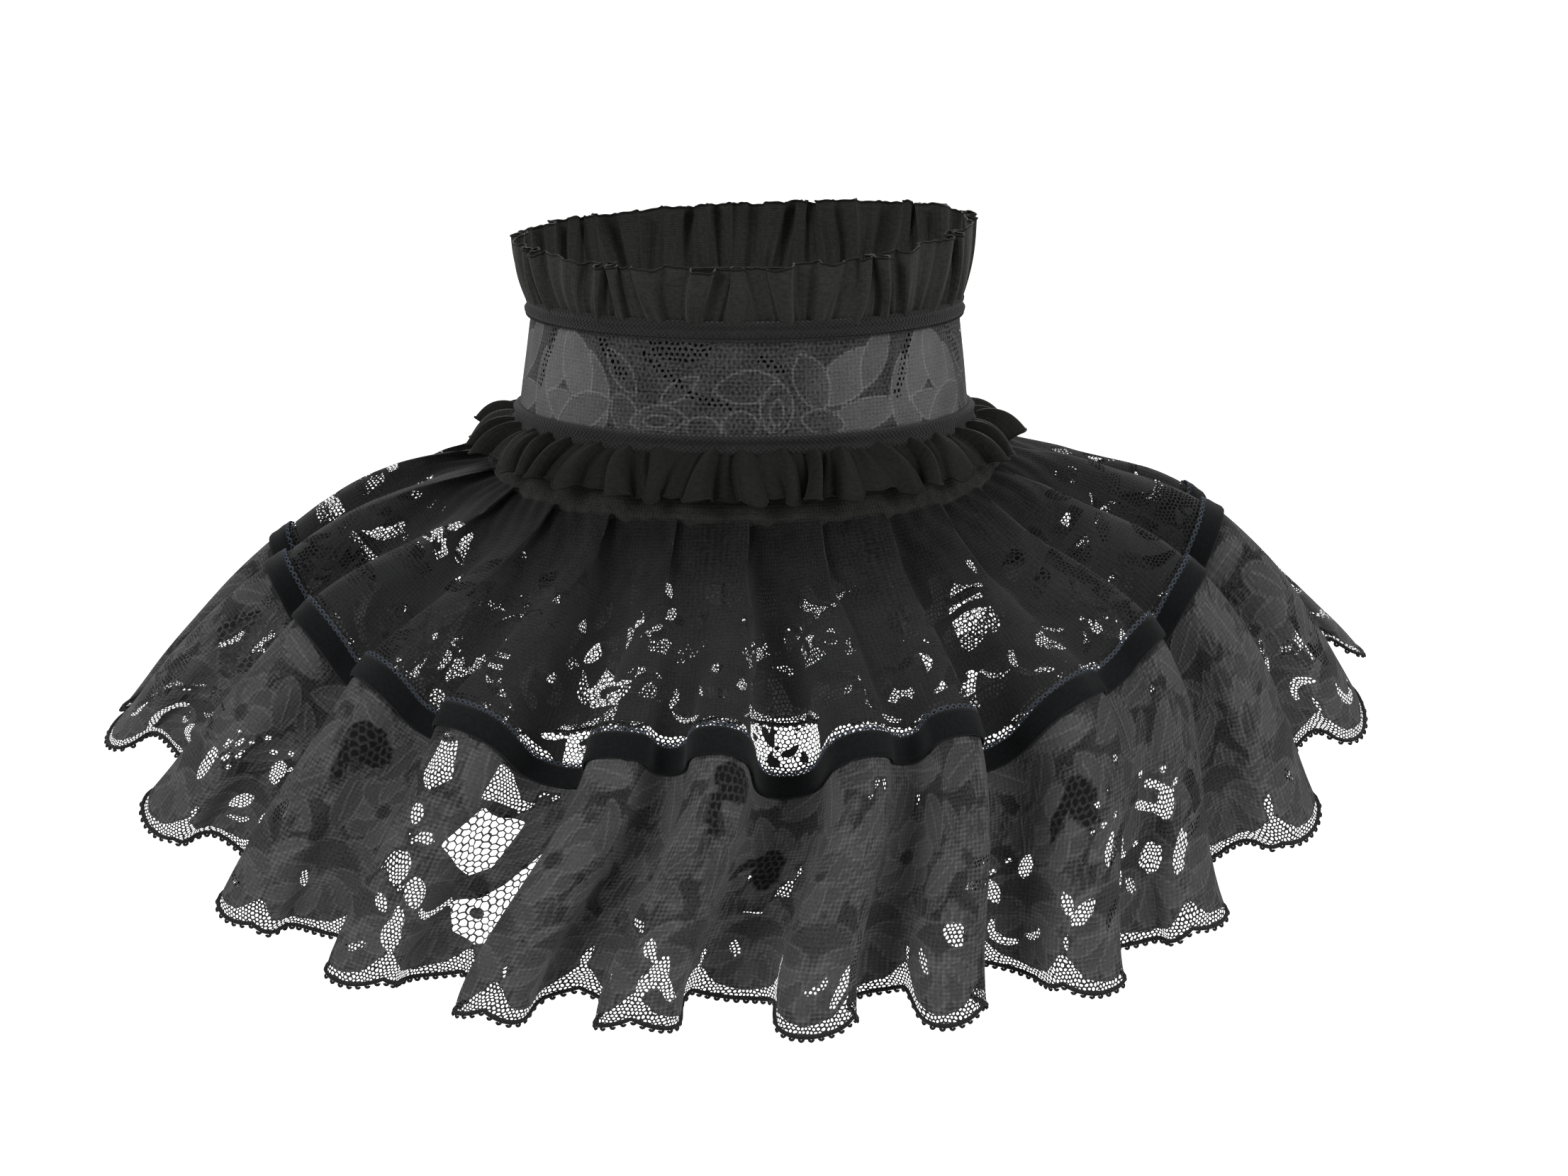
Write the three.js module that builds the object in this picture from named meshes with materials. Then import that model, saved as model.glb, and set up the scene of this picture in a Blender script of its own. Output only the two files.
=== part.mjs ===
import * as THREE from 'three';

// A lace collar: a lined neckband of floral lace between two small gathered ruffles,
// a plain yoke, and a cape of two lace tiers joined by a ribbon. It opens at the back.
// Millimetres, +Z up. The front is towards -Y and the wearer's left towards +X.
// The origin is on the neck's axis, level with the lower edge of the neck lace.

// ---- driving dimensions -------------------------------------------------------

const NECK = {
  radius: 63,        // outside of the neck lace at its lower edge
  taper: 3 / 26,     // how much smaller the neckband gets for each mm up
  lean: 3 / 26,      // how far forward its centre moves for each mm up
  laceTop: 26,
  top: 31,           // upper edge of the lining and the upper trim
  bottom: -6,        // lower edge of the lining
  trimBottom: -5.5,
};

const SEAM_GAP = 0.3;       // between pieces that are sewn edge to edge
const LINING = 1.2;         // wall thicknesses
const LACE = 1.0;
const TRIM = 2.2;
const RUFFLE = 1.0;
const YOKE = 1.4;
const TIER = 1.2;
const RIBBON = 1.6;

const NECK_COLUMNS = 48;
const YOKE_COLUMNS = 60;
const BACK_SLIT = 0.35;     // degrees from the centre back to each raw end

// A value at each side of the collar, which around() joins into a smooth ring.
const side = (front, left, back, right) => ({ front, left, back, right });

// The two small ruffles: gathers all round, and the wave at the sewn foot and the free edge.
const TOP_RUFFLE = {
  gathers: 36,
  footWave: 0.8,
  edgeWave: 2.0,
  footHeight: side(31.8, 31.8, 31.8, 31.8),
  edgeHeight: side(45.5, 52, 49, 46.5),
  footOut: 0.4,
  edgeOut: 3.6,
};
const LOWER_RUFFLE = {
  gathers: 40,
  footWave: 0.8,
  edgeWave: 2.1,
  footHeight: side(-6.6, -6.6, -6.6, -6.6),
  edgeHeight: side(-14.5, -9.6, -9, -10.2),
  footOut: 1.6,
  edgeOut: 12.2,
};
const GATHER_SAMPLES = 6;

// The yoke, from under the lower ruffle to the pleat seam.
const YOKE_ROWS = [
  { down: 0, radius: side(62.4, 62.4, 62.4, 62.4), height: side(-7.4, -7.4, -7.4, -7.4) },
  { down: 0.5, radius: side(67.2, 67.8, 67.6, 67.8), height: side(-14, -10.4, -10, -10.8) },
  { down: 1, radius: side(72.4, 72, 72, 72), height: side(-20.8, -13.8, -13.1, -14.6) },
];

// The cape's mean surface. down is the length of cloth below the pleat seam. A fold stands
// out square to the surface, with its upward share multiplied by lift.
const CAPE_ROWS = [
  { down: 0, radius: side(73, 73, 73, 73), height: side(-21.8, -14.2, -13.5, -15), lift: 1 },
  { down: 16.5, radius: side(80.5, 88.5, 82, 89), height: side(-36.5, -18, -26, -19), lift: 1 },
  { down: 33, radius: side(89, 103.5, 92, 104), height: side(-50.5, -23.5, -39.5, -26), lift: 1.1 },
  { down: 49.5, radius: side(97.5, 117.5, 101, 118), height: side(-64.5, -29.5, -53, -35.5), lift: 1.2 },
  { down: 66, radius: side(106, 130, 110, 130.5), height: side(-78, -38, -66, -46.5), lift: 1.3 },
  { down: 83, radius: side(114.5, 143, 118, 143), height: side(-94.5, -47, -81, -56.5), lift: 0.9 },
  { down: 100, radius: side(122.5, 154, 126, 155), height: side(-110.5, -55.5, -96, -67.5), lift: 0.3 },
  { down: 117, radius: side(129.5, 164, 133, 166), height: side(-127, -64, -111, -79), lift: -0.2 },
  { down: 134, radius: side(136, 173, 140, 175), height: side(-143, -73, -126, -87), lift: -0.6 },
];
const SQUARE = { radius: 0.2, height: 0.4 };   // how the cape turns over the shoulders
const RIBBON_TOP = 61;
const RIBBON_BOTTOM = 68;
const RIBBON_DOWN = 66;     // the level that the ribbon columns of FOLDS describe
const HEM_DOWN = 134;

// Rings of cloth between those levels, as lengths below the pleat seam.
const UPPER_RINGS = [0, 17, 32, 43, 53, RIBBON_TOP];
const RIBBON_RINGS = [RIBBON_TOP + SEAM_GAP, RIBBON_BOTTOM];
const LOWER_RINGS = [RIBBON_BOTTOM + SEAM_GAP, 84, 97, 108, 119, HEM_DOWN];
const LEAF_RING = 3;        // ring that the leaf windows are centred on
const BUD_RING = 2;         // ring that the smaller windows in the valleys are centred on

// The pleats are even at the seam and fall into uneven folds. A row is one fold: where its
// ridge is in degrees from the front, how far the ridge stands out, and how far the valley
// after it, towards the wearer's left, lies from the mean surface.
const FOLDS = [
  { ribbonAt: -172, ribbonOut: 6, ribbonIn: -6, hemAt: -172, hemOut: 9, hemIn: -9 },
  { ribbonAt: -157, ribbonOut: 5, ribbonIn: -5, hemAt: -156, hemOut: 8, hemIn: -10 },
  { ribbonAt: -142, ribbonOut: 7, ribbonIn: -7, hemAt: -141, hemOut: 10, hemIn: -8 },
  { ribbonAt: -127, ribbonOut: 5, ribbonIn: -5, hemAt: -127, hemOut: 8, hemIn: -9 },
  { ribbonAt: -112, ribbonOut: 6, ribbonIn: -6, hemAt: -113, hemOut: 9, hemIn: -9 },
  { ribbonAt: -98, ribbonOut: 7, ribbonIn: -6, hemAt: -99, hemOut: 9, hemIn: -9 },
  { ribbonAt: -84, ribbonOut: 7, ribbonIn: -6, hemAt: -86, hemOut: 9, hemIn: -10 },
  { ribbonAt: -71, ribbonOut: 6, ribbonIn: -5, hemAt: -72, hemOut: 10, hemIn: -9 },
  { ribbonAt: -58, ribbonOut: 8, ribbonIn: -4, hemAt: -59, hemOut: 11, hemIn: -4 },
  { ribbonAt: -44, ribbonOut: 6, ribbonIn: -13, hemAt: -46, hemOut: 9, hemIn: -7 },
  { ribbonAt: -20, ribbonOut: 5, ribbonIn: 0, hemAt: -31, hemOut: 10, hemIn: -12 },
  { ribbonAt: -8, ribbonOut: 9, ribbonIn: -14, hemAt: -16, hemOut: 7, hemIn: -13 },
  { ribbonAt: 14, ribbonOut: 4, ribbonIn: 0, hemAt: 5, hemOut: 11, hemIn: -13 },
  { ribbonAt: 25, ribbonOut: 9, ribbonIn: -12, hemAt: 19, hemOut: 10, hemIn: -15 },
  { ribbonAt: 47, ribbonOut: 6, ribbonIn: 1, hemAt: 35, hemOut: 11, hemIn: -2 },
  { ribbonAt: 59, ribbonOut: 8, ribbonIn: -5, hemAt: 49, hemOut: 8, hemIn: -10 },
  { ribbonAt: 72, ribbonOut: 7, ribbonIn: -8, hemAt: 64, hemOut: 9, hemIn: -9 },
  { ribbonAt: 85, ribbonOut: 9, ribbonIn: -6, hemAt: 77, hemOut: 9, hemIn: -9 },
  { ribbonAt: 98, ribbonOut: 6, ribbonIn: -5, hemAt: 92, hemOut: 9, hemIn: -9 },
  { ribbonAt: 112, ribbonOut: 7, ribbonIn: -7, hemAt: 109, hemOut: 10, hemIn: -9 },
  { ribbonAt: 127, ribbonOut: 5, ribbonIn: -5, hemAt: 126, hemOut: 8, hemIn: -8 },
  { ribbonAt: 142, ribbonOut: 7, ribbonIn: -6, hemAt: 142, hemOut: 10, hemIn: -10 },
  { ribbonAt: 157, ribbonOut: 5, ribbonIn: -6, hemAt: 156, hemOut: 8, hemIn: -9 },
  { ribbonAt: 172, ribbonOut: 6, ribbonIn: -6, hemAt: 172, hemOut: 9, hemIn: -9 },
];
const PLEAT_LEAN = 5;       // degrees that a pressed pleat's edge lies past its middle
const PLEAT_OUT = 0.9;      // half the step at a pressed pleat's edge
const FOLD_SAMPLES = 6;     // columns of cloth in a fold
const SWELL = { seam: 0, ribbon: 0.09, hem: 0.13 };   // how round a fold's flanks bulge
const SPLIT_FOLD = 12;      // each tier is joined from two lengths, in this fold's valley

// The fastening: a plain tab over the back slit with three buttons.
const TAB = { angle: 8, bottom: 1, top: 25, thickness: 1.2, columns: 6 };
const BUTTON = { diameter: 6.5, thickness: 2, heights: [5, 13, 21], sides: 18 };

const DEGREE = Math.PI / 180;

// ---- cloth --------------------------------------------------------------------

const MATERIALS = {
  chiffon: cloth(0x242522, 0.85),
  trim: cloth(0x1f1f1f, 0.8),
  lining: cloth(0x1b1b1b, 0.9),
  neckLace: cloth(0x555555, 0.8),
  yoke: cloth(0x20201f, 0.85),
  upperLace: cloth(0x2b2d2e, 0.85),
  ribbon: cloth(0x17181a, 0.75),
  lowerLace: cloth(0x444444, 0.85),
  button: cloth(0x161616, 0.35),
};

function cloth(color, roughness) {
  return new THREE.MeshStandardMaterial({ color, roughness, metalness: 0, side: THREE.DoubleSide });
}

// The smooth ring through a value at the front, left, back and right. A square ring keeps
// its front and back values further round, and turns quickly at the shoulders.
function around({ front, left, back, right }, angle, square = 0) {
  const turned = angle - square * Math.sin(2 * angle);
  return (front + left + back + right) / 4
    + (front - back) / 2 * Math.cos(turned)
    + (left - right) / 2 * Math.sin(turned)
    + (front - left + back - right) / 4 * Math.cos(2 * turned);
}

const mix = (a, b, share) => a + (b - a) * share;
const ease = (share) => (1 - Math.cos(Math.PI * share)) / 2;

// A smooth value between the rows of a table, by their lengths down the cloth.
function along(rows, down, read) {
  const last = rows.length - 2;
  const above = rows.findLastIndex((row) => row.down <= down);
  const i = Math.min(last, Math.max(0, above));
  const slope = (a, b) => (read(rows[b]) - read(rows[a])) / (rows[b].down - rows[a].down);
  const step = rows[i + 1].down - rows[i].down;
  const share = (down - rows[i].down) / step;
  const slopeIn = slope(Math.max(0, i - 1), i + 1);
  const slopeOut = slope(i, Math.min(last + 1, i + 2));
  const square = share * share;
  const cube = square * share;
  return (2 * cube - 3 * square + 1) * read(rows[i])
    + (cube - 2 * square + share) * step * slopeIn
    + (3 * square - 2 * cube) * read(rows[i + 1])
    + (cube - square) * step * slopeOut;
}

const onRing = (radius, angle, height, forward = 0) =>
  new THREE.Vector3(radius * Math.sin(angle), -radius * Math.cos(angle) - forward, height);

// The normals of a grid of points that faces outwards, columns to the left, rings down.
function normalsOf(points) {
  const columns = points.length - 1;
  const rings = points[0].length - 1;
  return points.map((column, i) => column.map((_, j) => {
    const across = points[Math.min(columns, i + 1)][j].clone().sub(points[Math.max(0, i - 1)][j]);
    const down = points[i][Math.min(rings, j + 1)].clone().sub(points[i][Math.max(0, j - 1)]);
    return down.cross(across).normalize();
  }));
}

// A wall of cloth round a grid of points in the middle of its thickness. A dropped point
// leaves a four-sided window between its neighbours.
function wall(name, material, points, thickness, dropped = new Set(), normals = normalsOf(points)) {
  const columns = points.length;
  const rings = points[0].length;
  const face = (offset) => points.flatMap((column, i) => column.flatMap((point, j) =>
    point.clone().addScaledVector(normals[i][j], offset).toArray()));
  const inner = columns * rings;
  const outside = [];
  for (let i = 0; i < columns - 1; i += 1) {
    for (let j = 0; j < rings - 1; j += 1) {
      const corners = [[i, j], [i, j + 1], [i + 1, j + 1], [i + 1, j]];
      const kept = corners.filter(([c, r]) => !dropped.has(`${c},${r}`)).map(([c, r]) => c * rings + r);
      if (kept.length === 4) outside.push([kept[0], kept[1], kept[2]], [kept[0], kept[2], kept[3]]);
      if (kept.length === 3) outside.push(kept);
    }
  }
  const edges = new Set(outside.flatMap(([a, b, c]) => [`${a},${b}`, `${b},${c}`, `${c},${a}`]));
  const triangles = outside.flatMap(([a, b, c]) => [a, b, c, inner + a, inner + c, inner + b]);
  for (const corners of outside) {
    corners.forEach((a, k) => {
      const b = corners[(k + 1) % 3];
      if (!edges.has(`${b},${a}`)) triangles.push(b, a, inner + a, b, inner + a, inner + b);
    });
  }
  const geometry = new THREE.BufferGeometry();
  const positions = [...face(thickness / 2), ...face(-thickness / 2)];
  geometry.setAttribute('position', new THREE.Float32BufferAttribute(positions, 3));
  geometry.setIndex(triangles);
  return named(name, geometry, material);
}

function named(name, geometry, material) {
  const mesh = new THREE.Mesh(geometry, material);
  mesh.name = name;
  return mesh;
}

const grid = (columns, rings, place) =>
  Array.from({ length: columns + 1 }, (_, i) => rings.map((ring) => place(i, ring)));

// ---- neckband -----------------------------------------------------------------

// A point of the neckband, a distance out from the outside of its lace.
function neckPoint(angle, height, out) {
  return onRing(NECK.radius - NECK.taper * height + out, angle, height, NECK.lean * height);
}

// An angle round the neck for a column, from one side of the back slit to the other.
function neckAngle(column, columns, from = -180 + BACK_SLIT, to = 180 - BACK_SLIT) {
  return mix(from, to, column / columns) * DEGREE;
}

function neckRing(name, material, thickness, rows) {
  const points = grid(NECK_COLUMNS, rows, (i, row) =>
    neckPoint(neckAngle(i, NECK_COLUMNS), row.height, row.out));
  return wall(name, material, points, thickness);
}

const LINING_OUT = -(LACE + LINING) / 2 - SEAM_GAP;
const TRIM_OUT = LINING_OUT + (LINING + TRIM) / 2 + SEAM_GAP;

function neckLining() {
  return neckRing('neck_lining', MATERIALS.lining, LINING, [
    { height: NECK.top, out: LINING_OUT },
    { height: NECK.bottom, out: LINING_OUT },
  ]);
}

function neckLace() {
  return neckRing('neck_lace', MATERIALS.neckLace, LACE, [
    { height: NECK.laceTop, out: 0 },
    { height: SEAM_GAP, out: 0 },
  ]);
}

function trim(name, top, bottom) {
  const middle = (top + bottom) / 2;
  return neckRing(name, MATERIALS.trim, TRIM, [
    { height: top, out: TRIM_OUT },
    { height: middle, out: TRIM_OUT + 0.3 },
    { height: bottom, out: TRIM_OUT },
  ]);
}

function backTab() {
  const out = LACE / 2 + SEAM_GAP + TAB.thickness / 2;
  const points = grid(TAB.columns, [TAB.top, TAB.bottom], (i, height) =>
    neckPoint(neckAngle(i, TAB.columns, 180 - TAB.angle, 180 + TAB.angle), height, out));
  return wall('back_tab', MATERIALS.trim, points, TAB.thickness);
}

function backButton(height, index) {
  const radius = BUTTON.diameter / 2;
  const geometry = new THREE.CylinderGeometry(radius, radius, BUTTON.thickness, BUTTON.sides);
  const button = named(`back_button_${index + 1}`, geometry, MATERIALS.button);
  const slope = Math.atan(NECK.taper + NECK.lean);
  const out = LACE / 2 + 2 * SEAM_GAP + TAB.thickness + BUTTON.thickness / 2;
  button.position.copy(neckPoint(Math.PI, height, 0));
  button.position.y += out * Math.cos(slope);
  button.position.z += out * Math.sin(slope);
  button.rotation.x = slope;
  return button;
}

// ---- small ruffles ------------------------------------------------------------

// A gathered strip: its rings are the foot and the free edge, and every gather is one wave
// whose flanks bulge, a little uneven from gather to gather.
function ruffle(name, size) {
  const columns = size.gathers * GATHER_SAMPLES;
  const points = grid(columns, [0, 1], (i, edge) => {
    const gather = i / GATHER_SAMPLES;
    const turn = 2 * Math.PI * gather;
    const uneven = 1 + 0.2 * Math.sin(2.4 * Math.floor(gather + 0.5));
    const bulge = edge * 0.14 * Math.sin(2 * turn);
    const angle = neckAngle(gather + bulge, size.gathers);
    const wave = -Math.cos(turn) * mix(size.footWave, size.edgeWave * uneven, edge);
    const foot = new THREE.Vector2(size.footOut, around(size.footHeight, angle));
    const tip = new THREE.Vector2(size.edgeOut, around(size.edgeHeight, angle));
    const slope = tip.clone().sub(foot).normalize();
    const outwards = new THREE.Vector2(Math.abs(slope.y), slope.x * -Math.sign(slope.y));
    const place = foot.clone().lerp(tip, edge).addScaledVector(outwards, wave);
    return onRing(
      NECK.radius - NECK.taper * foot.y + place.x, angle, place.y, NECK.lean * foot.y);
  });
  return wall(name, MATERIALS.chiffon, points, RUFFLE);
}

// ---- yoke and cape ------------------------------------------------------------

function yoke() {
  const points = grid(YOKE_COLUMNS, YOKE_ROWS, (i, row) => {
    const angle = neckAngle(i, YOKE_COLUMNS);
    return onRing(around(row.radius, angle), angle, around(row.height, angle, SQUARE.height));
  });
  return wall('yoke', MATERIALS.yoke, points, YOKE);
}

// The ridge and valley of a fold at three levels of the cape. Fold 0 follows the back slit.
const PITCH = 360 / FOLDS.length;
const LEVELS = {
  seam: (k) => ({ at: PITCH * (k + 0.5) - 180 + PLEAT_LEAN, out: PLEAT_OUT, valleyOut: -PLEAT_OUT }),
  ribbon: (k) => ({ at: FOLDS[k].ribbonAt, out: FOLDS[k].ribbonOut, valleyOut: FOLDS[k].ribbonIn }),
  hem: (k) => ({ at: FOLDS[k].hemAt, out: FOLDS[k].hemOut, valleyOut: FOLDS[k].hemIn }),
};

// The valley before a fold, with the back slit as the first and the last one.
function valleyBefore(level, k) {
  if (k === 0) return { at: -180 + BACK_SLIT, out: LEVELS[level](FOLDS.length - 1).valleyOut };
  if (k === FOLDS.length) return { at: 180 - BACK_SLIT, out: LEVELS[level](k - 1).valleyOut };
  const before = LEVELS[level](k - 1);
  const even = level === 'seam' ? PITCH * k - 180 : (before.at + LEVELS[level](k).at) / 2;
  return { at: even, out: before.valleyOut };
}

// Where a column lies at a level: its angle and how far it stands out. Columns are counted
// in folds, with a valley at each whole number and a ridge half-way.
function foldAt(level, column) {
  const k = Math.min(FOLDS.length - 1, Math.floor(column));
  const share = column - k;
  const ridge = LEVELS[level](k);
  const valley = valleyBefore(level, share <= 0.5 ? k : k + 1);
  const toRidge = share <= 0.5 ? 2 * share : 2 - 2 * share;
  const swollen = toRidge + SWELL[level] * Math.sin(2 * Math.PI * toRidge);
  return {
    angle: mix(valley.at, ridge.at, swollen) * DEGREE,
    out: mix(valley.out, ridge.out, ease(toRidge)),
  };
}

// A point of the cape in the middle of the cloth.
function capePoint(column, down, sideways = 0) {
  const upper = down <= RIBBON_DOWN;
  const start = foldAt(upper ? 'seam' : 'ribbon', column);
  const end = foldAt(upper ? 'ribbon' : 'hem', column);
  const share = upper ? down / RIBBON_DOWN : (down - RIBBON_DOWN) / (HEM_DOWN - RIBBON_DOWN);
  const out = mix(start.out, end.out, share);
  const mean = mix(start.angle, end.angle, ease(share));
  const profile = (length) => new THREE.Vector2(
    along(CAPE_ROWS, length, (row) => around(row.radius, mean, SQUARE.radius)),
    along(CAPE_ROWS, length, (row) => around(row.height, mean, SQUARE.height)));
  const here = profile(down);
  const slope = profile(Math.min(down + 1, HEM_DOWN)).sub(profile(Math.max(down - 1, 0))).normalize();
  const radius = here.x - slope.y * out;
  const height = here.y + slope.x * out * along(CAPE_ROWS, down, (row) => row.lift);
  return onRing(radius, mean + sideways / radius, height);
}

// A length of the cape between two folds and through some rings.
function capeLength(name, material, thickness, rings, firstFold, lastFold, windows) {
  const columns = (lastFold - firstFold) * FOLD_SAMPLES;
  const points = grid(columns, rings, (i, down) => {
    let sideways = 0;
    if (i === 0 && firstFold === SPLIT_FOLD) sideways = SEAM_GAP;
    if (i === columns && lastFold === SPLIT_FOLD) sideways = -SEAM_GAP;
    return capePoint(firstFold + i / FOLD_SAMPLES, down, sideways);
  });
  const whole = grid(FOLDS.length * FOLD_SAMPLES, rings, (i, down) => capePoint(i / FOLD_SAMPLES, down));
  const normals = normalsOf(whole).slice(firstFold * FOLD_SAMPLES, lastFold * FOLD_SAMPLES + 1);
  const dropped = new Set();
  for (let i = 1; i < columns; i += 1) {
    const ring = windows[i % FOLD_SAMPLES];
    if (ring) dropped.add(`${i},${ring}`);
  }
  return wall(name, material, points, thickness, dropped, normals);
}

// Windows by column of a fold: the valley is column 0 and the ridge column 3.
const UPPER_WINDOWS = { 3: LEAF_RING };
const LOWER_WINDOWS = { 0: BUD_RING, 3: LEAF_RING };

function capePieces() {
  const count = FOLDS.length;
  const tier = (name, material, rings, windows) => [
    capeLength(`${name}_right`, material, TIER, rings, 0, SPLIT_FOLD, windows),
    capeLength(`${name}_left`, material, TIER, rings, SPLIT_FOLD, count, windows),
  ];
  return [
    ...tier('upper_tier', MATERIALS.upperLace, UPPER_RINGS, UPPER_WINDOWS),
    capeLength('hem_ribbon', MATERIALS.ribbon, RIBBON, RIBBON_RINGS, 0, count, {}),
    ...tier('lower_tier', MATERIALS.lowerLace, LOWER_RINGS, LOWER_WINDOWS),
  ];
}

// ---- the collar ---------------------------------------------------------------

const collar = new THREE.Group();
collar.add(
  neckLining(),
  neckLace(),
  trim('upper_trim', NECK.top, NECK.laceTop + SEAM_GAP),
  trim('lower_trim', 0, NECK.trimBottom),
  ruffle('top_ruffle', TOP_RUFFLE),
  ruffle('lower_ruffle', LOWER_RUFFLE),
  yoke(),
  ...capePieces(),
  backTab(),
  ...BUTTON.heights.map(backButton),
);

export default collar;
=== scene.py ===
import math

import bmesh
import bpy
import numpy as np
from mathutils import Matrix, Vector


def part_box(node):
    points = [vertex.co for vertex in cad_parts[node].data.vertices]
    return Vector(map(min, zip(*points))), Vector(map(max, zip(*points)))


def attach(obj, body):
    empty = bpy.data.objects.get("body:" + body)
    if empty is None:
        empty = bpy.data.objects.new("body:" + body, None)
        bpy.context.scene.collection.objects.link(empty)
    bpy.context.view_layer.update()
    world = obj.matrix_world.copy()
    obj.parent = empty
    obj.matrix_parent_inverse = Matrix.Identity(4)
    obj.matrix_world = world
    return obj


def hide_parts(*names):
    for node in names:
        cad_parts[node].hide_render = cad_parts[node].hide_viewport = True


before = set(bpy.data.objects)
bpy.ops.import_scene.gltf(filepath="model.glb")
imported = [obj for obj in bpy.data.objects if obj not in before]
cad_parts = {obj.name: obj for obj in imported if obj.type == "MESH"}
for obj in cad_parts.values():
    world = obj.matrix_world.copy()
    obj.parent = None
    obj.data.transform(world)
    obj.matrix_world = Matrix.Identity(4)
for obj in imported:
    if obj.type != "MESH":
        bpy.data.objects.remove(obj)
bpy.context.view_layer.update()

bl_info = {
    "name": "Lace Collar",
    "version": (1, 0, 0),
    "blender": (4, 5, 0),
    "location": "View3D > Sidebar > Collar",
    "description": "Dresses a measured frame as a pleated lace collar with a gathered neckband",
    "category": "Object",
}

MM = 0.001

# ---- the cut, in millimetres --------------------------------------------------------
# The front is towards -Y and the wearer's left towards +X. Values round the collar are
# given at its front, left, back and right.

NECK_RADIUS = 63.0          # outside of the neck lace at its lower edge
NECK_TAPER = 3 / 26         # how much smaller the neckband gets for each millimetre up
NECK_LEAN = 3 / 26          # how far forward its middle moves for each millimetre up
LACE_TOP = 26.0
LINING_TOP = 31.0
LINING_BOTTOM = -6.0
TRIM_BOTTOM = -5.5
BACK_LAP = 0.2              # degrees that a band's ends pass the centre back, where they lap
CAPE_SLIT = 0.12            # degrees from the centre back to each edge of the two tiers
LINING_OUT = -1.4

TOP_RUFFLE = {
    "gathers": 36, "foot_wave": 0.7, "edge_wave": 1.6, "droop": 0.0, "puff": 0.9, "pinch": 0.24,
    "foot_height": 29.4, "edge_height": (45.5, 52, 49, 46.5), "foot_out": 0.4, "edge_out": 3.6,
}
LOWER_RUFFLE = {
    "gathers": 40, "foot_wave": 0.7, "edge_wave": 3.2, "droop": 2.3, "puff": 1.6, "pinch": 0.5,
    "foot_height": -4.0, "edge_height": (-15.6, -10.2, -9.4, -10.8), "foot_out": 1.2, "edge_out": 11.6,
}

YOKE_DOWNS = (0.0, 0.5, 1.0)
YOKE_RADII = ((62.4, 62.4, 62.4, 62.4), (67.2, 67.8, 67.6, 67.8), (72.8, 72.4, 72.4, 72.4))
YOKE_HEIGHTS = ((-7.4, -7.4, -7.4, -7.4), (-14, -10.4, -10, -10.8), (-21.3, -14.0, -13.3, -14.8))

# The cape's mean surface, by the length of cloth below the pleat seam. A fold stands out
# square to it, with its upward share multiplied by the lift.
CAPE_DOWNS = (0.0, 16.5, 33.0, 49.5, 66.0, 83.0, 100.0, 117.0, 134.0)
CAPE_RADII = (
    (73, 73, 73, 73), (80.5, 88.5, 82, 89), (89, 103.5, 92, 104), (97.5, 117.5, 101, 118),
    (106, 130, 110, 130.5), (114.5, 143, 118, 143), (122.5, 154, 126, 155),
    (129.5, 164, 133, 166), (136, 173, 140, 175),
)
CAPE_HEIGHTS = (
    (-21.8, -14.2, -13.5, -15), (-36.5, -18, -26, -19), (-50.5, -23.5, -39.5, -26),
    (-64.5, -29.5, -53, -35.5), (-78, -38, -66, -46.5), (-94.5, -47, -81, -56.5),
    (-110.5, -55.5, -96, -67.5), (-127, -64, -111, -79), (-143, -73, -126, -87),
)
CAPE_LIFTS = (1, 1, 1.1, 1.2, 1.3, 0.9, 0.3, -0.2, -0.6)
SQUARE_RADIUS = 0.2         # how the cape turns over the shoulders
SQUARE_HEIGHT = 0.4
SEAM_ALLOWANCE = 3.0
SEAM_DROP = 0.2             # how far the allowance falls for each millimetre that it runs in
RIBBON_TOP = 61.0
RIBBON_BOTTOM = 68.0
RIBBON_DOWN = 66.0
RIBBON_OVERLAP = 2.5        # how far each tier's edge goes under the ribbon
SAG_IN_FRONT = 2.8          # how much lower the ribbon is sewn at the middle front
SAG_IN_VALLEYS = 0.2        # and for each millimetre that a valley lies in
HEM_DOWN = 134.0

# A fold's ridge, in degrees from the front, how far it stands out, and how far the valley
# after it lies from the mean surface, at the ribbon and at the hem.
FOLDS = (
    (-172, 6, -6, -172, 9, -9), (-157, 5, -5, -156, 8, -10), (-142, 7, -7, -141, 10, -8),
    (-127, 5, -5, -127, 8, -9), (-112, 6, -6, -113, 9, -9), (-98, 7, -6, -99, 9, -9),
    (-84, 7, -6, -86, 9, -10), (-71, 6, -5, -72, 10, -9), (-58, 8, -4, -59, 11, -4),
    (-44, 6, -13, -46, 9, -7), (-20, 5, 0, -31, 10, -12), (-8, 9, -14, -16, 7, -13),
    (14, 4, 0, 5, 11, -13), (25, 9, -12, 19, 10, -15), (47, 6, 1, 35, 11, -2),
    (59, 8, -5, 49, 8, -10), (72, 7, -8, 64, 9, -9), (85, 9, -6, 77, 9, -9),
    (98, 6, -5, 92, 9, -9), (112, 7, -7, 109, 10, -9), (127, 5, -5, 126, 8, -8),
    (142, 7, -6, 142, 10, -10), (157, 5, -6, 156, 8, -9), (172, 6, -6, 172, 9, -9),
)
FOLD_COUNT = len(FOLDS)
PLEAT_LEAN = 5.0            # degrees that a pressed pleat's edge lies past its middle
PLEAT_OUT = 1.2
PLEAT_UNDER = 3.2           # degrees that the cloth goes back under a pressed pleat
PLEAT_SINK = 0.9            # how far that cloth lies in behind the pleat
PLEAT_LENGTH = 34.0         # how far down the pressing still shows


# ---- settings a user would change ---------------------------------------------------


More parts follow.
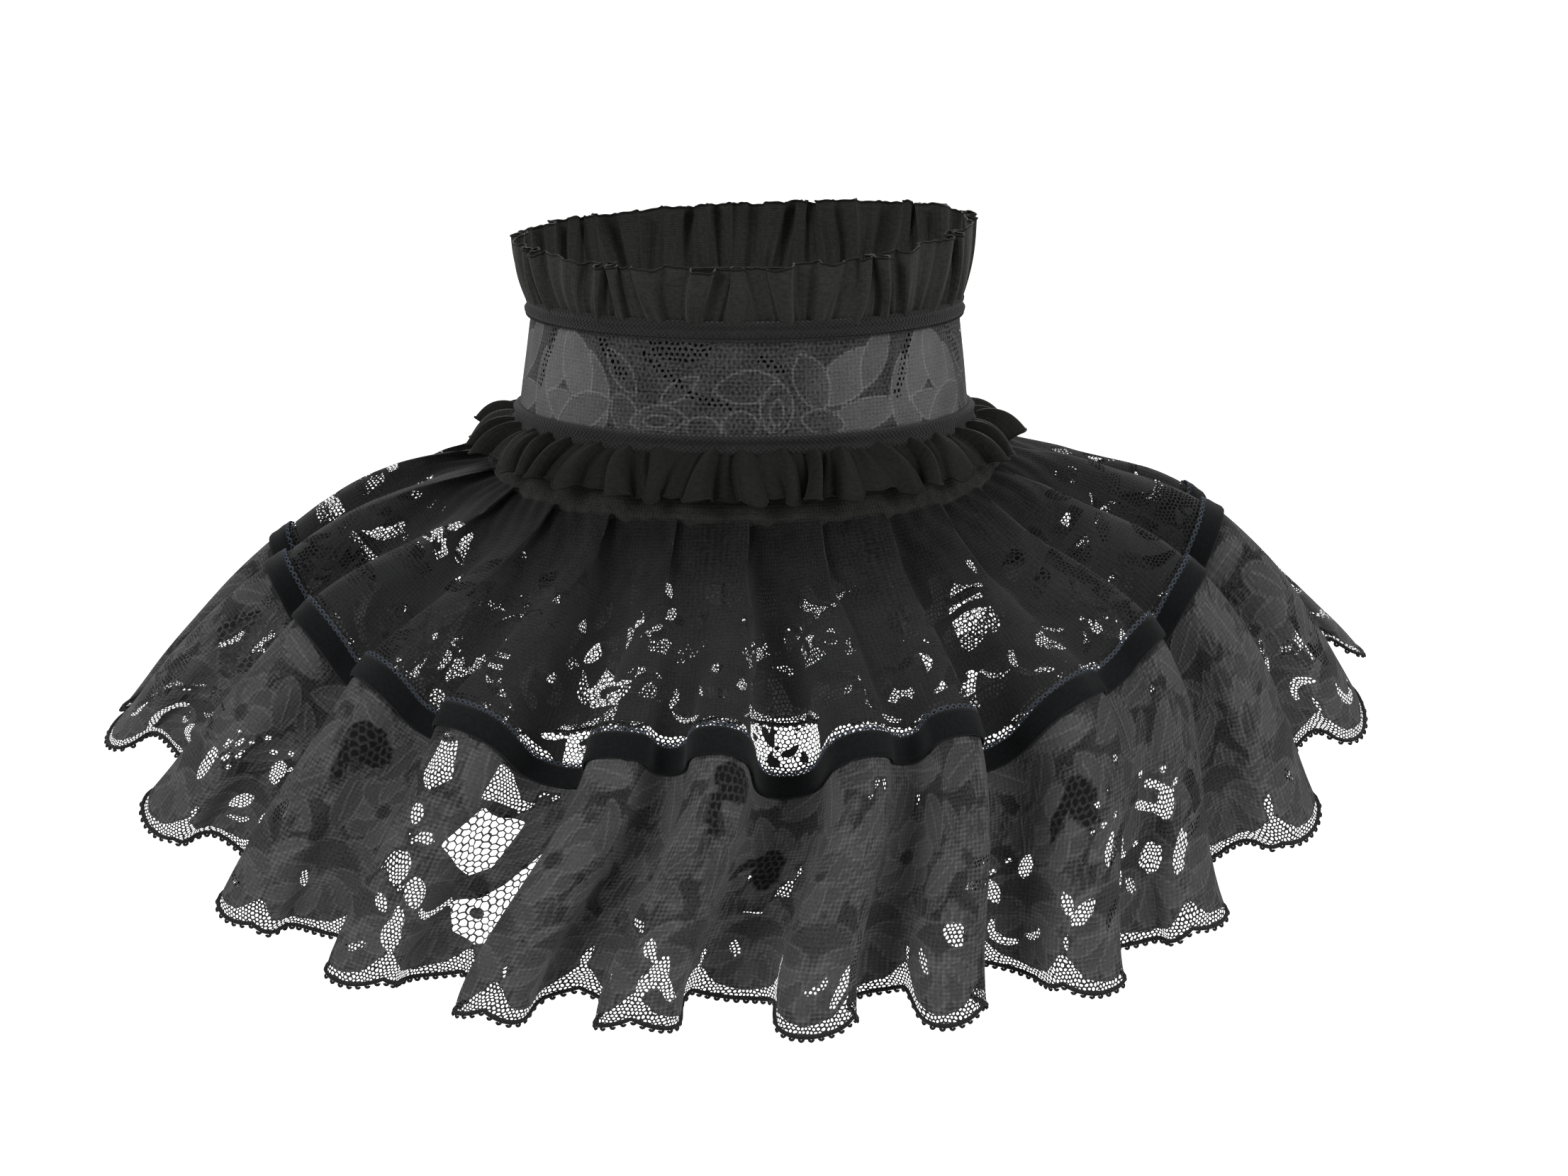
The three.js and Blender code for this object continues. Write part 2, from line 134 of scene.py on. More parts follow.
class CollarLace(bpy.types.PropertyGroup):
    """The laces' net, threads and edges."""

    net_pitch: bpy.props.FloatProperty(
        name="Net", description="Width of a cell of the lower tier's net",
        default=2.2 * MM, min=0.5 * MM, unit="LENGTH")
    fine_pitch: bpy.props.FloatProperty(
        name="Fine net", description="Width of a cell of the upper tier's net",
        default=1.3 * MM, min=0.5 * MM, unit="LENGTH")
    hem_pitch: bpy.props.FloatProperty(
        name="Hem net", description="Width of a cell of the lower tier's closer net",
        default=1.05 * MM, min=0.5 * MM, unit="LENGTH")
    upper_repeat: bpy.props.FloatProperty(
        name="Upper repeat", description="Width of the upper lace's repeat",
        default=77.5 * MM, unit="LENGTH")
    lower_repeat: bpy.props.FloatProperty(
        name="Lower repeat", description="Width of the lower lace's repeat",
        default=78 * MM, unit="LENGTH")
    scallops: bpy.props.IntProperty(
        name="Scallops", description="Scallops of the hem in one repeat", default=3, min=1)
    scallop_depth: bpy.props.FloatProperty(
        name="Scallop depth", description="How far the hem's scallops hang down",
        default=3.2 * MM, unit="LENGTH")
    hem_cord: bpy.props.FloatProperty(
        name="Hem cord", description="Thickness of the cord along the hem",
        default=1.1 * MM, unit="LENGTH")
    picot_pitch: bpy.props.FloatProperty(
        name="Picots", description="Distance between the hem's small loops",
        default=2.3 * MM, unit="LENGTH")
    ribbon_picots: bpy.props.FloatProperty(
        name="Ribbon picots", description="Distance between the loops on the ribbon's edge",
        default=1.7 * MM, unit="LENGTH")


class CollarColours(bpy.types.PropertyGroup):
    """The cloths' colours, as sRGB hex values."""

    chiffon: bpy.props.StringProperty(
        name="Chiffon", description="Colour of the gathered ruffles", default="1b1c1a")
    # Painted shade: a darker copy of the same chiffon, for the lower ruffle and the rolled edges,
    # standing for the shade that the lower ruffle lies in.
    chiffon_in_painted_shade: bpy.props.StringProperty(
        name="Lower chiffon", description="Colour of the lower ruffle", default="0f0f0e")
    trim: bpy.props.StringProperty(
        name="Trim", description="Colour of the woven trims", default="171717")
    lining: bpy.props.StringProperty(
        name="Lining", description="Colour of the neckband's lining", default="111111")
    neck_lace: bpy.props.StringProperty(
        name="Neck lace", description="Colour of the neckband's lace", default="383838")
    yoke: bpy.props.StringProperty(
        name="Yoke", description="Colour of the plain yoke", default="181817")
    upper_lace: bpy.props.StringProperty(
        name="Upper lace", description="Colour of the upper tier", default="191a19")
    ribbon: bpy.props.StringProperty(
        name="Ribbon", description="Colour of the tape between the tiers", default="090a0b")
    ribbon_edge: bpy.props.StringProperty(
        name="Ribbon edge", description="Colour of the tape's looped edge", default="2a2e35")
    lower_lace: bpy.props.StringProperty(
        name="Lower lace", description="Colour of the lower tier", default="2a2a2a")
    button: bpy.props.StringProperty(
        name="Button", description="Colour of the back buttons", default="0c0c0c")


# ---- forms ----------------------------------------------------------------------------


def around(sides, angle, square=0.0):
    """The smooth ring through a value at the front, left, back and right."""
    front, left, back, right = sides
    squared = angle - square * np.sin(2 * angle)
    return ((front + left + back + right) / 4
            + (front - back) / 2 * np.cos(squared)
            + (left - right) / 2 * np.sin(squared)
            + (front - left + back - right) / 4 * np.cos(2 * squared))


def along(downs, rows, down):
    """A smooth value between rows of values, by their lengths down the cloth."""
    rows = np.array([np.broadcast_to(row, down.shape) for row in rows], dtype=float)
    downs = np.array(downs, dtype=float)
    last = len(downs) - 1
    before = np.maximum(np.arange(last + 1) - 1, 0)
    after = np.minimum(np.arange(last + 1) + 1, last)
    slopes = (rows[after] - rows[before]) / (downs[after] - downs[before])[:, None]
    i = np.clip(np.searchsorted(downs, down, side="right") - 1, 0, last - 1)
    at = np.arange(down.size)
    step = downs[i + 1] - downs[i]
    share = (down - downs[i]) / step
    square, cube = share**2, share**3
    return ((2 * cube - 3 * square + 1) * rows[i, at]
            + (cube - 2 * square + share) * step * slopes[i, at]
            + (3 * square - 2 * cube) * rows[i + 1, at]
            + (cube - square) * step * slopes[i + 1, at])


def mix(a, b, share):
    """A value a share of the way from one to another."""
    return a + (b - a) * share


def ease(share):
    """A share that starts and ends gently."""
    return (1 - np.cos(np.pi * share)) / 2


def on_ring(radius, angle, height, forward=0.0):
    """Points round the neck's axis, by their angles from the front to the wearer's left."""
    return np.stack(
        [radius * np.sin(angle), -radius * np.cos(angle) - forward, height + 0 * angle], axis=-1)


def back_to_back(across):
    """The angle of a place across a band whose ends lap at the centre back."""
    return np.radians(mix(-180 - BACK_LAP, 180 + BACK_LAP, across))


def neck_points(across, height, out):
    """Points of the neckband, a distance out from the outside of its lace."""
    angle = back_to_back(across)
    return on_ring(NECK_RADIUS - NECK_TAPER * height + out, angle, height, NECK_LEAN * height)


def fold_level(ats, outs, ins, first_valley, even=None):
    """The ridges and valleys of the folds at one level of the cape."""
    ats, outs, ins = (np.array(x, dtype=float) for x in (ats, outs, ins))
    between = (ats[:-1] + ats[1:]) / 2 if even is None else even
    ends = 180 - CAPE_SLIT
    return {
        "at": ats, "out": outs,
        "valley_at": np.concatenate([[-ends], between, [ends]]),
        "valley_out": np.concatenate([[first_valley], ins]),
    }


PITCH = 360 / FOLD_COUNT
SEAM_LEVEL = fold_level(
    [PITCH * (k + 0.5) - 180 + PLEAT_LEAN for k in range(FOLD_COUNT)],
    [PLEAT_OUT] * FOLD_COUNT, [-PLEAT_OUT] * FOLD_COUNT, -PLEAT_OUT,
    [PITCH * k - 180 for k in range(1, FOLD_COUNT)])
RIBBON_LEVEL = fold_level(
    [f[0] for f in FOLDS], [f[1] for f in FOLDS], [f[2] for f in FOLDS], FOLDS[-1][2])
HEM_LEVEL = fold_level(
    [f[3] for f in FOLDS], [f[4] for f in FOLDS], [f[5] for f in FOLDS], FOLDS[-1][5])
SWELLS = {"seam": 0.0, "ribbon": 0.12, "hem": 0.19}     # how round a fold's flanks bulge

# Soft creases: the fold they lie in, where across it, from and to which
# length down, how deep, and how wide in folds. The back and sides have similar ones.
CREASES = (
    (9, 0.30, 70, 128, -1.6, 0.10), (10, 0.28, 18, 62, -1.1, 0.10), (10, 0.70, 30, 66, 0.9, 0.12),
    (10, 0.35, 74, 134, 1.5, 0.12), (11, 0.30, 84, 134, -1.5, 0.09), (11, 0.72, 24, 60, 0.8, 0.10),
    (12, 0.25, 30, 66, 1.0, 0.12), (12, 0.68, 78, 134, -1.8, 0.10), (13, 0.35, 40, 66, -1.0, 0.10),
    (13, 0.62, 90, 134, 1.6, 0.12), (14, 0.30, 26, 64, -1.0, 0.10), (14, 0.60, 72, 120, -1.7, 0.12),
    (15, 0.35, 80, 134, 1.4, 0.10), (8, 0.40, 76, 134, -1.4, 0.10), (7, 0.62, 72, 130, 1.4, 0.12),
)
PUCKER_HEIGHT = 0.3         # the small gathers at the pleat seam
PUCKER_LENGTH = 16.0        # how far down they fade
RIPPLE_HEIGHT = 0.45        # the narrow and the wide unevenness of the cloth that hangs free
ROLL_HEIGHT = 0.95
FREE_DOWN = 60.0            # how far down the cloth hangs free


def fold_at(level, swell, column, shape):
    """Where columns lie at a level: angle in radians and distance out."""
    k = np.minimum(FOLD_COUNT - 1, np.floor(column)).astype(int)
    share = column - k
    rising = share <= 0.5
    valley = np.where(rising, k, k + 1)
    to_ridge = np.where(rising, 2 * share, 2 - 2 * share)
    swollen = to_ridge + swell * np.sin(2 * np.pi * to_ridge)
    angle = mix(level["valley_at"][valley], level["at"][k], swollen)
    out = mix(level["valley_out"][valley], level["out"][k], mix(to_ridge, ease(to_ridge), shape))
    return np.radians(angle), out


def creased(column, down):
    """How far the creases and the cloth's small unevenness lift it."""
    lifted = np.zeros_like(down)
    for fold, place, start, end, depth, width in CREASES:
        for turn in (0, FOLD_COUNT // 2):
            away = (column - (fold + turn) % FOLD_COUNT - place) / width
            run = np.clip((down - start) / (end - start), 0, 1)
            lifted += depth * np.exp(-away**2) * np.sin(np.pi * run) ** 0.7
    pucker = 5.3 * column + 0.6 * np.sin(down / 7 + column)
    lifted += PUCKER_HEIGHT * np.exp(-down / PUCKER_LENGTH) * np.sin(2 * np.pi * pucker)
    free = np.clip(down / FREE_DOWN, 0, 1)
    ripple = 2.6 * column + 0.35 * np.sin(down / 19 + column)
    lifted += free * RIPPLE_HEIGHT * np.sin(2 * np.pi * ripple)
    roll = down / 17 + 2.3 * column + 1.1 * np.sin(1.7 * column)
    return lifted + free * ROLL_HEIGHT * np.sin(roll)


def cape_points(column, down):
    """Points in the middle of the cape's cloth. Columns are counted in folds. Above the pleat
    seam the cloth runs straight in under the yoke."""
    tucked, down = np.maximum(-down, 0), np.maximum(down, 0)
    upper = down <= RIBBON_DOWN
    share = np.where(upper, down / RIBBON_DOWN, (down - RIBBON_DOWN) / (HEM_DOWN - RIBBON_DOWN))
    seam_angle, seam_out = fold_at(SEAM_LEVEL, SWELLS["seam"], column, 0.2)
    ribbon_angle, ribbon_out = fold_at(RIBBON_LEVEL, SWELLS["ribbon"], column, 1.0)
    hem_angle, hem_out = fold_at(HEM_LEVEL, SWELLS["hem"], column, 1.0)
    out = mix(np.where(upper, seam_out, ribbon_out), np.where(upper, ribbon_out, hem_out), share)
    angle = mix(np.where(upper, seam_angle, ribbon_angle),
                np.where(upper, ribbon_angle, hem_angle), ease(share))
    # A pressed pleat's edge lies over the cloth that goes back under it.
    past = np.clip(2 * (column - np.floor(column)) - 1, 0, 1)
    pressed = np.clip(1 - down / PLEAT_LENGTH, 0, 1) ** 1.3
    angle = angle - np.radians(PLEAT_UNDER) * pressed * np.sin(np.pi * past)
    out = out - PLEAT_SINK * pressed * np.sin(np.pi * past)
    out = out + creased(column, down)

    def profile(length):
        radius = along(CAPE_DOWNS, [around(r, angle, SQUARE_RADIUS) for r in CAPE_RADII], length)
        height = along(CAPE_DOWNS, [around(r, angle, SQUARE_HEIGHT) for r in CAPE_HEIGHTS], length)
        return radius, height

    radius, height = profile(down)
    radius_after, height_after = profile(np.minimum(down + 1, HEM_DOWN))
    radius_before, height_before = profile(np.maximum(down - 1, 0))
    across, drop = radius_after - radius_before, height_after - height_before
    length = np.hypot(across, drop)
    lift = along(CAPE_DOWNS, [np.full(down.shape, x) for x in CAPE_LIFTS], down)
    return on_ring(radius - drop / length * out - tucked, angle,
                   height + across / length * out * lift - SEAM_DROP * tucked)


STEP_ACROSS, STEP_DOWN = 0.0004, 0.3    # small steps that show which way a surface faces


def raised(place, across, down, proud):
    """Points of a surface moved out along its normal."""
    here = place(across, down)
    right = place(across + STEP_ACROSS, down) - place(across - STEP_ACROSS, down)
    below = place(across, down + STEP_DOWN) - place(across, down - STEP_DOWN)
    outward = np.cross(below, right)
    outward /= np.maximum(np.linalg.norm(outward, axis=-1, keepdims=True), 1e-9)
    return here + outward * np.reshape(proud, (-1, 1))


def cape_across(across, down):
    """Points of the cape by their share of the way round, which may pass the back slit a little."""
    return cape_points(np.clip(across, 0, 1) * FOLD_COUNT, np.clip(down, -SEAM_ALLOWANCE, HEM_DOWN))


def ribbon_sag(across):
    """How much lower the ribbon is sewn than its mean line: in the valleys and at the front."""
    angle, out = fold_at(RIBBON_LEVEL, SWELLS["ribbon"], np.clip(across, 0, 1) * FOLD_COUNT, 1.0)
    return SAG_IN_FRONT * (1 + np.cos(angle)) / 2 - SAG_IN_VALLEYS * out


def lengths_round(down, samples=4801):
    """Shares of the way round the cape, and the length of cloth up to each of them."""
    across = np.linspace(0, 1, samples)
    points = cape_across(across, np.full(samples, float(down)))
    steps = np.linalg.norm(np.diff(points, axis=0), axis=1)
    return across, np.concatenate([[0], np.cumsum(steps)])


# ---- meshes ---------------------------------------------------------------------------


def grid_mesh(name, columns, rings, shape):
    """A grid whose points shape(across, down) gives in millimetres, with the place of each on
    the flat cloth and its fields. Both shares run from 0 to 1, down from the upper edge."""
    bm = bmesh.new()
    bmesh.ops.create_grid(bm, x_segments=columns, y_segments=rings, size=0.5)
    mesh = bpy.data.meshes.new(name)
    bm.to_mesh(mesh)
    bm.free()
    count = len(mesh.vertices)
    places = np.empty(3 * count, dtype=np.float32)
    mesh.vertices.foreach_get("co", places)
    places = places.reshape(-1, 3)[:, :2].astype(float)
    places = (places - places.min(0)) / np.ptp(places, axis=0)
    across = np.round(places[:, 0] * columns) / columns
    down = 1 - np.round(places[:, 1] * rings) / rings
    points, flat, fields = shape(across, down)
    mesh.vertices.foreach_set("co", (points * MM).astype(np.float32).ravel())
    loops = np.empty(len(mesh.loops), dtype=np.int32)
    mesh.loops.foreach_get("vertex_index", loops)
    layer = mesh.uv_layers.new(name="Cloth")
    layer.uv.foreach_set("vector", flat[loops].astype(np.float32).ravel())
    for field, values in fields.items():
        attribute = mesh.attributes.new(field, "FLOAT", "POINT")
        attribute.data.foreach_set("value", values.astype(np.float32))
    mesh.shade_smooth()
    mesh.update()
    return mesh


def closed(mesh):
    """Joins the edges that meet where a grid is rolled into a tube, and closes its ends."""
    bm = bmesh.new()
    bm.from_mesh(mesh)
    bmesh.ops.remove_doubles(bm, verts=bm.verts, dist=1e-6)
    bmesh.ops.holes_fill(bm, edges=[e for e in bm.edges if e.is_boundary], sides=0)
    bmesh.ops.recalc_face_normals(bm, faces=bm.faces)
    bm.to_mesh(mesh)
    bm.free()
    return mesh


def section_mesh(name, columns, section, place, cloth=2 * np.pi * NECK_RADIUS):
    """A band with a closed section, a list of (down, out) points, along place(across, down, out).
    The cloth is its length in millimetres."""
    section = np.array([*section, section[0]], dtype=float)

    def shape(across, down):
        spot = down * (len(section) - 1)
        steps = np.arange(len(section))
        downs, outs = np.interp(spot, steps, section[:, 0]), np.interp(spot, steps, section[:, 1])
        run = np.concatenate([[0], np.cumsum(np.linalg.norm(np.diff(section, axis=0), axis=1))])
        flat = np.stack([across * cloth, np.interp(spot, steps, run)], axis=-1)
        return place(across, downs, outs), flat, {}

    return closed(grid_mesh(name, columns, len(section) - 1, shape))


def thread_mesh(name, path, thickness, sides=6):
    """A thread along a path of points in millimetres."""
    along_path = np.gradient(path, axis=0)
    along_path /= np.linalg.norm(along_path, axis=1, keepdims=True)
    side = np.cross(along_path, (0, 0, 1.0))
    side /= np.linalg.norm(side, axis=1, keepdims=True)
    other = np.cross(side, along_path)
    run = np.concatenate([[0], np.cumsum(np.linalg.norm(np.diff(path, axis=0), axis=1))])
    last = len(path) - 1

    def shape(across, down):
        i = np.round(across * last).astype(int)
        turn = 2 * np.pi * down[:, None]
        points = path[i] + thickness / 2 * (np.cos(turn) * side[i] + np.sin(turn) * other[i])
        return points, np.stack([run[i], down * np.pi * thickness], axis=-1), {}

    return closed(grid_mesh(name, last, sides, shape))


def loop_mesh(radius, thickness, bends=6, sides=4):
    """Half a ring of thread that hangs down from two feet, in millimetres."""
    bm = bmesh.new()
    ring = bmesh.ops.create_circle(bm, segments=sides, radius=thickness / 2)["verts"]
    bmesh.ops.rotate(bm, verts=ring, matrix=Matrix.Rotation(math.pi / 2, 3, "X"))
    bmesh.ops.translate(bm, verts=ring, vec=(radius, 0, 0))
    bmesh.ops.spin(
        bm, geom=list(bm.verts) + list(bm.edges), cent=(0, 0, 0), axis=(0, 0, 1),
        angle=-math.pi, steps=bends, use_merge=False)
    bmesh.ops.recalc_face_normals(bm, faces=bm.faces)
    mesh = bpy.data.meshes.new("loop")
    bm.to_mesh(mesh)
    bm.free()
    return mesh


def repeated_mesh(name, pattern, centres, rights, ups):
    """Copies of a small mesh: its X lies along rights and its Y along ups."""
    count = len(pattern.vertices)
    own = np.empty(3 * count)
    pattern.vertices.foreach_get("co", own)
    own = own.reshape(-1, 3)
    outs = np.cross(rights, ups)
    bm = bmesh.new()
    for _ in range(len(centres)):
        bm.from_mesh(pattern)
    mesh = bpy.data.meshes.new(name)
    bm.to_mesh(mesh)
    bm.free()
    points = (centres[:, None] + own[None, :, 0:1] * rights[:, None]
              + own[None, :, 1:2] * ups[:, None] + own[None, :, 2:3] * outs[:, None])
    mesh.vertices.foreach_set("co", (points * MM).astype(np.float32).ravel())
    bpy.data.meshes.remove(pattern)
    mesh.shade_smooth()
    mesh.update()
    return mesh


def place_piece(name, mesh, material, nodes=()):
    """Puts a finished piece on the collar, in place of the frame's nodes that it dresses."""
    piece = bpy.data.objects.new(name, mesh)
    bpy.context.scene.collection.objects.link(piece)
    mesh.materials.append(material)
    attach(piece, "root")
    if nodes:
        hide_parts(*nodes)
    return piece


# ---- drawing the lace -----------------------------------------------------------------
# Each shape gives the distance in millimetres from its edge, negative inside it.

FAR = 50.0                  # further off than any shape
FIELD_REACH = 9.0           # the greatest distance that the cloth's fields hold
NET_MARGIN = 0.9            # how far round an opening its net's strands are noted
PLAIN_STRAND = 0.3          # the strand and the tone of cloth that no shape lies on
PLAIN_TONE = -0.35
THREAD_SHOWS = 0.6          # how far inside a worked leaf the threads under it still show

# The strands of each kind of net.
CLEAR, VEIL, BAND_NET = 0.34, 0.66, 0.5
NET, CLOSE_NET, WIDE_NET, EYELET = 0.42, 0.52, 0.44, 0.85
EYELET_TONE = -1.0          # the dark cloth of the lower lace's eyelet rows


def turned(x, y, at, degrees):
    """Places as seen from a motif's middle, along and beside its own turned line."""
    dx, dy = x - at[0], y - at[1]
    c, s = math.cos(math.radians(degrees)), math.sin(math.radians(degrees))
    return dx * c + dy * s, dy * c - dx * s


def leaf(x, y, at, long, wide, turn=0.0):
    """A pointed leaf, the overlap of two circles."""
    along_it, beside = turned(x, y, at, turn)
    reach, half = long / 2, wide / 2
    radius = (reach**2 + half**2) / (2 * half)
    return np.hypot(along_it, np.abs(beside) + radius - half) - radius


def petal(x, y, at, long, wide, turn=0.0):
    """An oval petal."""
    along_it, beside = turned(x, y, at, turn)
    return (np.hypot(along_it / (long / 2), beside / (wide / 2)) - 1) * min(long, wide) / 2


def curl(x, y, at, radius, wide, start, end, taper=0.0):
    """Part of a ring, between two directions in degrees, that may thin towards its ends."""
    dx, dy = x - at[0], y - at[1]
    middle, half = math.radians((start + end) / 2), math.radians((end - start) / 2)
    away = (np.arctan2(dy, dx) - middle + np.pi) % (2 * np.pi) - np.pi
    near = np.clip(away, -half, half)
    reach = np.hypot(dx - radius * np.cos(near + middle), dy - radius * np.sin(near + middle))
    return reach - wide / 2 * (1 - taper * (near / half) ** 2)


def twig(x, y, start, end, wide, tip=None):
    """A stem between two points, which may taper to its tip."""
    run = np.array(end, dtype=float) - np.array(start, dtype=float)
    share = np.clip(((x - start[0]) * run[0] + (y - start[1]) * run[1]) / (run @ run), 0, 1)
    reach = np.hypot(x - start[0] - share * run[0], y - start[1] - share * run[1])
    return reach - mix(wide, wide if tip is None else tip, share) / 2


def patch(x, y, corners):
    """A many-sided patch."""
    corners = np.array(corners, dtype=float)
    reach = np.full(x.shape, 1e9)
    inside = np.zeros(x.shape, dtype=bool)
    for a, b in zip(corners, np.roll(corners, -1, axis=0)):
        edge, dx, dy = b - a, x - a[0], y - a[1]
        share = np.clip((dx * edge[0] + dy * edge[1]) / (edge @ edge), 0, 1)
        reach = np.minimum(reach, np.hypot(dx - share * edge[0], dy - share * edge[1]))
        crosses = (a[1] > y) != (b[1] > y)
        rise = b[1] - a[1] if b[1] != a[1] else 1e-9
        inside ^= crosses & (dx < edge[0] * (y - a[1]) / rise)
    return np.where(inside, -reach, reach)


def wrapped(x, repeat):
    """Places across a cloth as places across one repeat, from its middle."""
    moved = x / repeat + 0.5
    return (moved - np.floor(moved) - 0.5) * repeat


class Drawing:
    """What a lace shows at each point: the distance from its openings' edges, the width of the
    net's strands and whether its cells are wide, the distance from a raised thread, how close
    the cloth is worked, and the distance from the nearest worked leaf or petal."""

    def __init__(self, count):
        self.opening = np.full(count, FAR)
        self.strand = np.full(count, PLAIN_STRAND)
        self.coarse = np.zeros(count)
        self.cord = np.full(count, FAR)
        self.tone = np.full(count, PLAIN_TONE)
        self.worked = np.full(count, FAR)

    def open(self, shape, strand, coarse=0.0):
        """Opens the cloth and fills the opening with net."""
        self.strand = np.where(shape < NET_MARGIN, strand, self.strand)
        self.coarse = np.where(shape < NET_MARGIN, coarse, self.coarse)
        self.opening = np.minimum(self.opening, shape)

    def close(self, shape):
        """Lays close cloth over an opening."""
        self.opening = np.maximum(self.opening, -shape)

    def thread(self, shape):
        """Lays a raised thread along a shape's edge."""
        self.cord = np.where(np.abs(shape) < np.abs(self.cord), shape, self.cord)

    def work(self, shape, tone):
        """A leaf or petal of close-worked cloth, outlined with a raised thread."""
        self.tone = np.where(shape < 0, tone, self.tone)
        hidden = np.maximum(np.abs(self.cord), -shape)
        self.cord = np.where(shape < -THREAD_SHOWS, hidden, self.cord)
        self.thread(shape)
        self.worked = np.minimum(self.worked, shape)

    def open_between(self, zone, gap, strand):
        """Opens the ground that no leaf covers, within a zone."""
        self.open(np.maximum(gap - self.worked, zone), strand)

    def fields(self):
        """What the lace's material reads at each point."""
        return {"opening": np.clip(self.opening, -FIELD_REACH, FIELD_REACH),
                "strand": self.strand, "coarse": self.coarse,
                "cord": np.clip(self.cord, -FIELD_REACH, FIELD_REACH), "tone": self.tone}


def stamp(drawing, x, y, at, turn, reach, motif):
    """Draws a motif round a place, in the motif's own turned millimetres."""
    near = np.nonzero((np.abs(x - at[0]) < reach) & (np.abs(y - at[1]) < reach))[0]
    if near.size == 0:
        return
    part = Drawing(near.size)
    for field, values in vars(drawing).items():
        setattr(part, field, values[near])
    motif(part, *turned(x[near], y[near], at, turn))
    for field, values in vars(part).items():
        getattr(drawing, field)[near] = values


def fan(d, x, y, at, petals, reach, wide, start, end, tone=0.5):
    """Petals round a middle, between two directions in degrees."""
    for k in range(petals):
        way = mix(start, end, (k + 0.5) / petals)
        middle = (at[0] + 0.56 * reach * math.cos(math.radians(way)),
                  at[1] + 0.56 * reach * math.sin(math.radians(way)))
        shape = petal(x, y, middle, 0.92 * reach, wide, way)
        d.work(shape, tone if k % 2 else tone * 0.4)


def vein(d, x, y, at, long, turn):
    """A leaf's middle line, drawn as a raised thread."""
    ahead, beside = turned(x, y, at, turn)
    near = (np.abs(ahead) < 0.36 * long) & (np.abs(beside) < np.abs(d.cord))
    d.cord = np.where(near, beside, d.cord)


def leaves(d, x, y, rows):
    """Leaves with their middle lines, a row for each."""
    for at_x, at_y, long, wide, turn, tone in rows:
        d.work(leaf(x, y, (at_x, at_y), long, wide, turn), tone)
        vein(d, x, y, (at_x, at_y), long, turn)


def split_leaf(d, x, y, at, long, wide, turn):
    """A leaf-shaped opening with a vein, clear net above it and close net below."""
    shape = leaf(x, y, at, long, wide, turn)
    beside = turned(x, y, at, turn)[1]
    d.open(shape, CLEAR)
    d.strand = np.where((shape < NET_MARGIN) & (beside > 0.3), VEIL, d.strand)
    reach = long / 2
    tips = [(at[0] + s * reach * math.cos(math.radians(turn)),
             at[1] + s * reach * math.sin(math.radians(turn))) for s in (-1, 1)]
    d.close(twig(x, y, tips[0], tips[1], 0.9, 0.5))


def leaf_pair(d, x, y):
    """Two split leaves, one above the other."""
    split_leaf(d, x, y, (0.5, -7.5), 15, 8.4, -6)
    split_leaf(d, x, y, (-0.5, 5.8), 13, 7.6, -8)


def arched_branch(d, x, y):
    """A branch that arches over two leaves."""
    d.open(patch(x, y, [(-1.4, -6), (1.6, -6.4), (2.6, -1.6), (6, 0.6), (10.5, 1.6), (10, 4.8),
                        (3, 2.8), (-4, 3.2), (-9.6, 5.4), (-9, 1.4), (-3, 0)]) - 0.5, CLEAR)
    d.open(petal(x, y, (-12.5, 8), 8, 6, 50), VEIL)
    d.open(leaf(x, y, (13, -3), 10, 5, 60), CLEAR)


def curled_flower(d, x, y):
    """A curled heart with an outer ring of petals, most of them over close net."""
    d.open(curl(x, y, (0, 0), 4.4, 3.2, 95, 235), CLEAR)
    d.open(curl(x, y, (2, -1.2), 2.6, 2.5, -120, 40), CLEAR)
    d.open(curl(x, y, (-1, 0), 10.4, 3, 105, 190, 0.6), CLEAR)
    d.open(curl(x, y, (0, 0), 10.6, 3.4, -75, -12, 0.5), VEIL)
    d.open(curl(x, y, (0, 0), 9.8, 2.4, 5, 62, 0.6), CLEAR)
    d.open(leaf(x, y, (-9, -12), 10, 4.4, -50), VEIL)
    d.open(leaf(x, y, (3, -16), 9, 4, -80), CLEAR)
    d.open(leaf(x, y, (10, -14), 8, 3.6, -50), CLEAR)


def twig_net(d, x, y):
    """A panel of clear net, crossed by twigs with small leaves."""
    x = x / 0.75
    d.open(patch(x, y, [(-7, -19), (-1.5, -21), (2, -12), (4.5, -4), (10, -1), (12, 6),
                        (11.5, 13), (-12, 13), (-12.6, 5), (-7.6, 0), (-10, -6),
                        (-6, -11)]) - 0.6, CLEAR)
    stems = (
        ((-3, -20), (0.5, 13), 0.8), ((-0.5, -4), (9.5, 4), 0.5), ((-2, -9), (-8, -3), 0.5),
        ((0, 1), (-10, 4.5), 0.55), ((0.2, 5), (8, 11.5), 0.5), ((-6, 2), (-5, 13), 0.5),
        ((5, 0), (4, 9), 0.5), ((-1.5, -13), (2.2, -9.5), 0.5), ((-11, 8), (0, 9.5), 0.45))
    for start, end, wide in stems:
        d.close(twig(x, y, start, end, wide))
    small_leaves = (
        ((-2.6, 3), 6, 2.2, 60), ((3.4, 6.4), 5, 2, -35), ((-1.4, 9.2), 5, 2.2, 80),
        ((-5.2, -5), 5, 2, 40), ((6.4, 8.8), 4.4, 1.8, 70), ((-8, 6), 4.6, 1.8, -20))
    for at, long, wide, turn in small_leaves:
        d.close(leaf(x, y, at, long, wide, turn))
    d.open(petal(x, y, (13.6, -1.5), 6, 10.5, 32), CLEAR)


UPPER_FIRST_LEAF = 471.0        # place of the leaf pair by the middle front pleat, in millimetres
UPPER_STRETCH = 1.5             # how much wider a motif is than it looks on the turned folds
RIBBON_NET = 60.6               # length down of the band of net above the ribbon
RIBBON_NET_DEPTH = 4.6


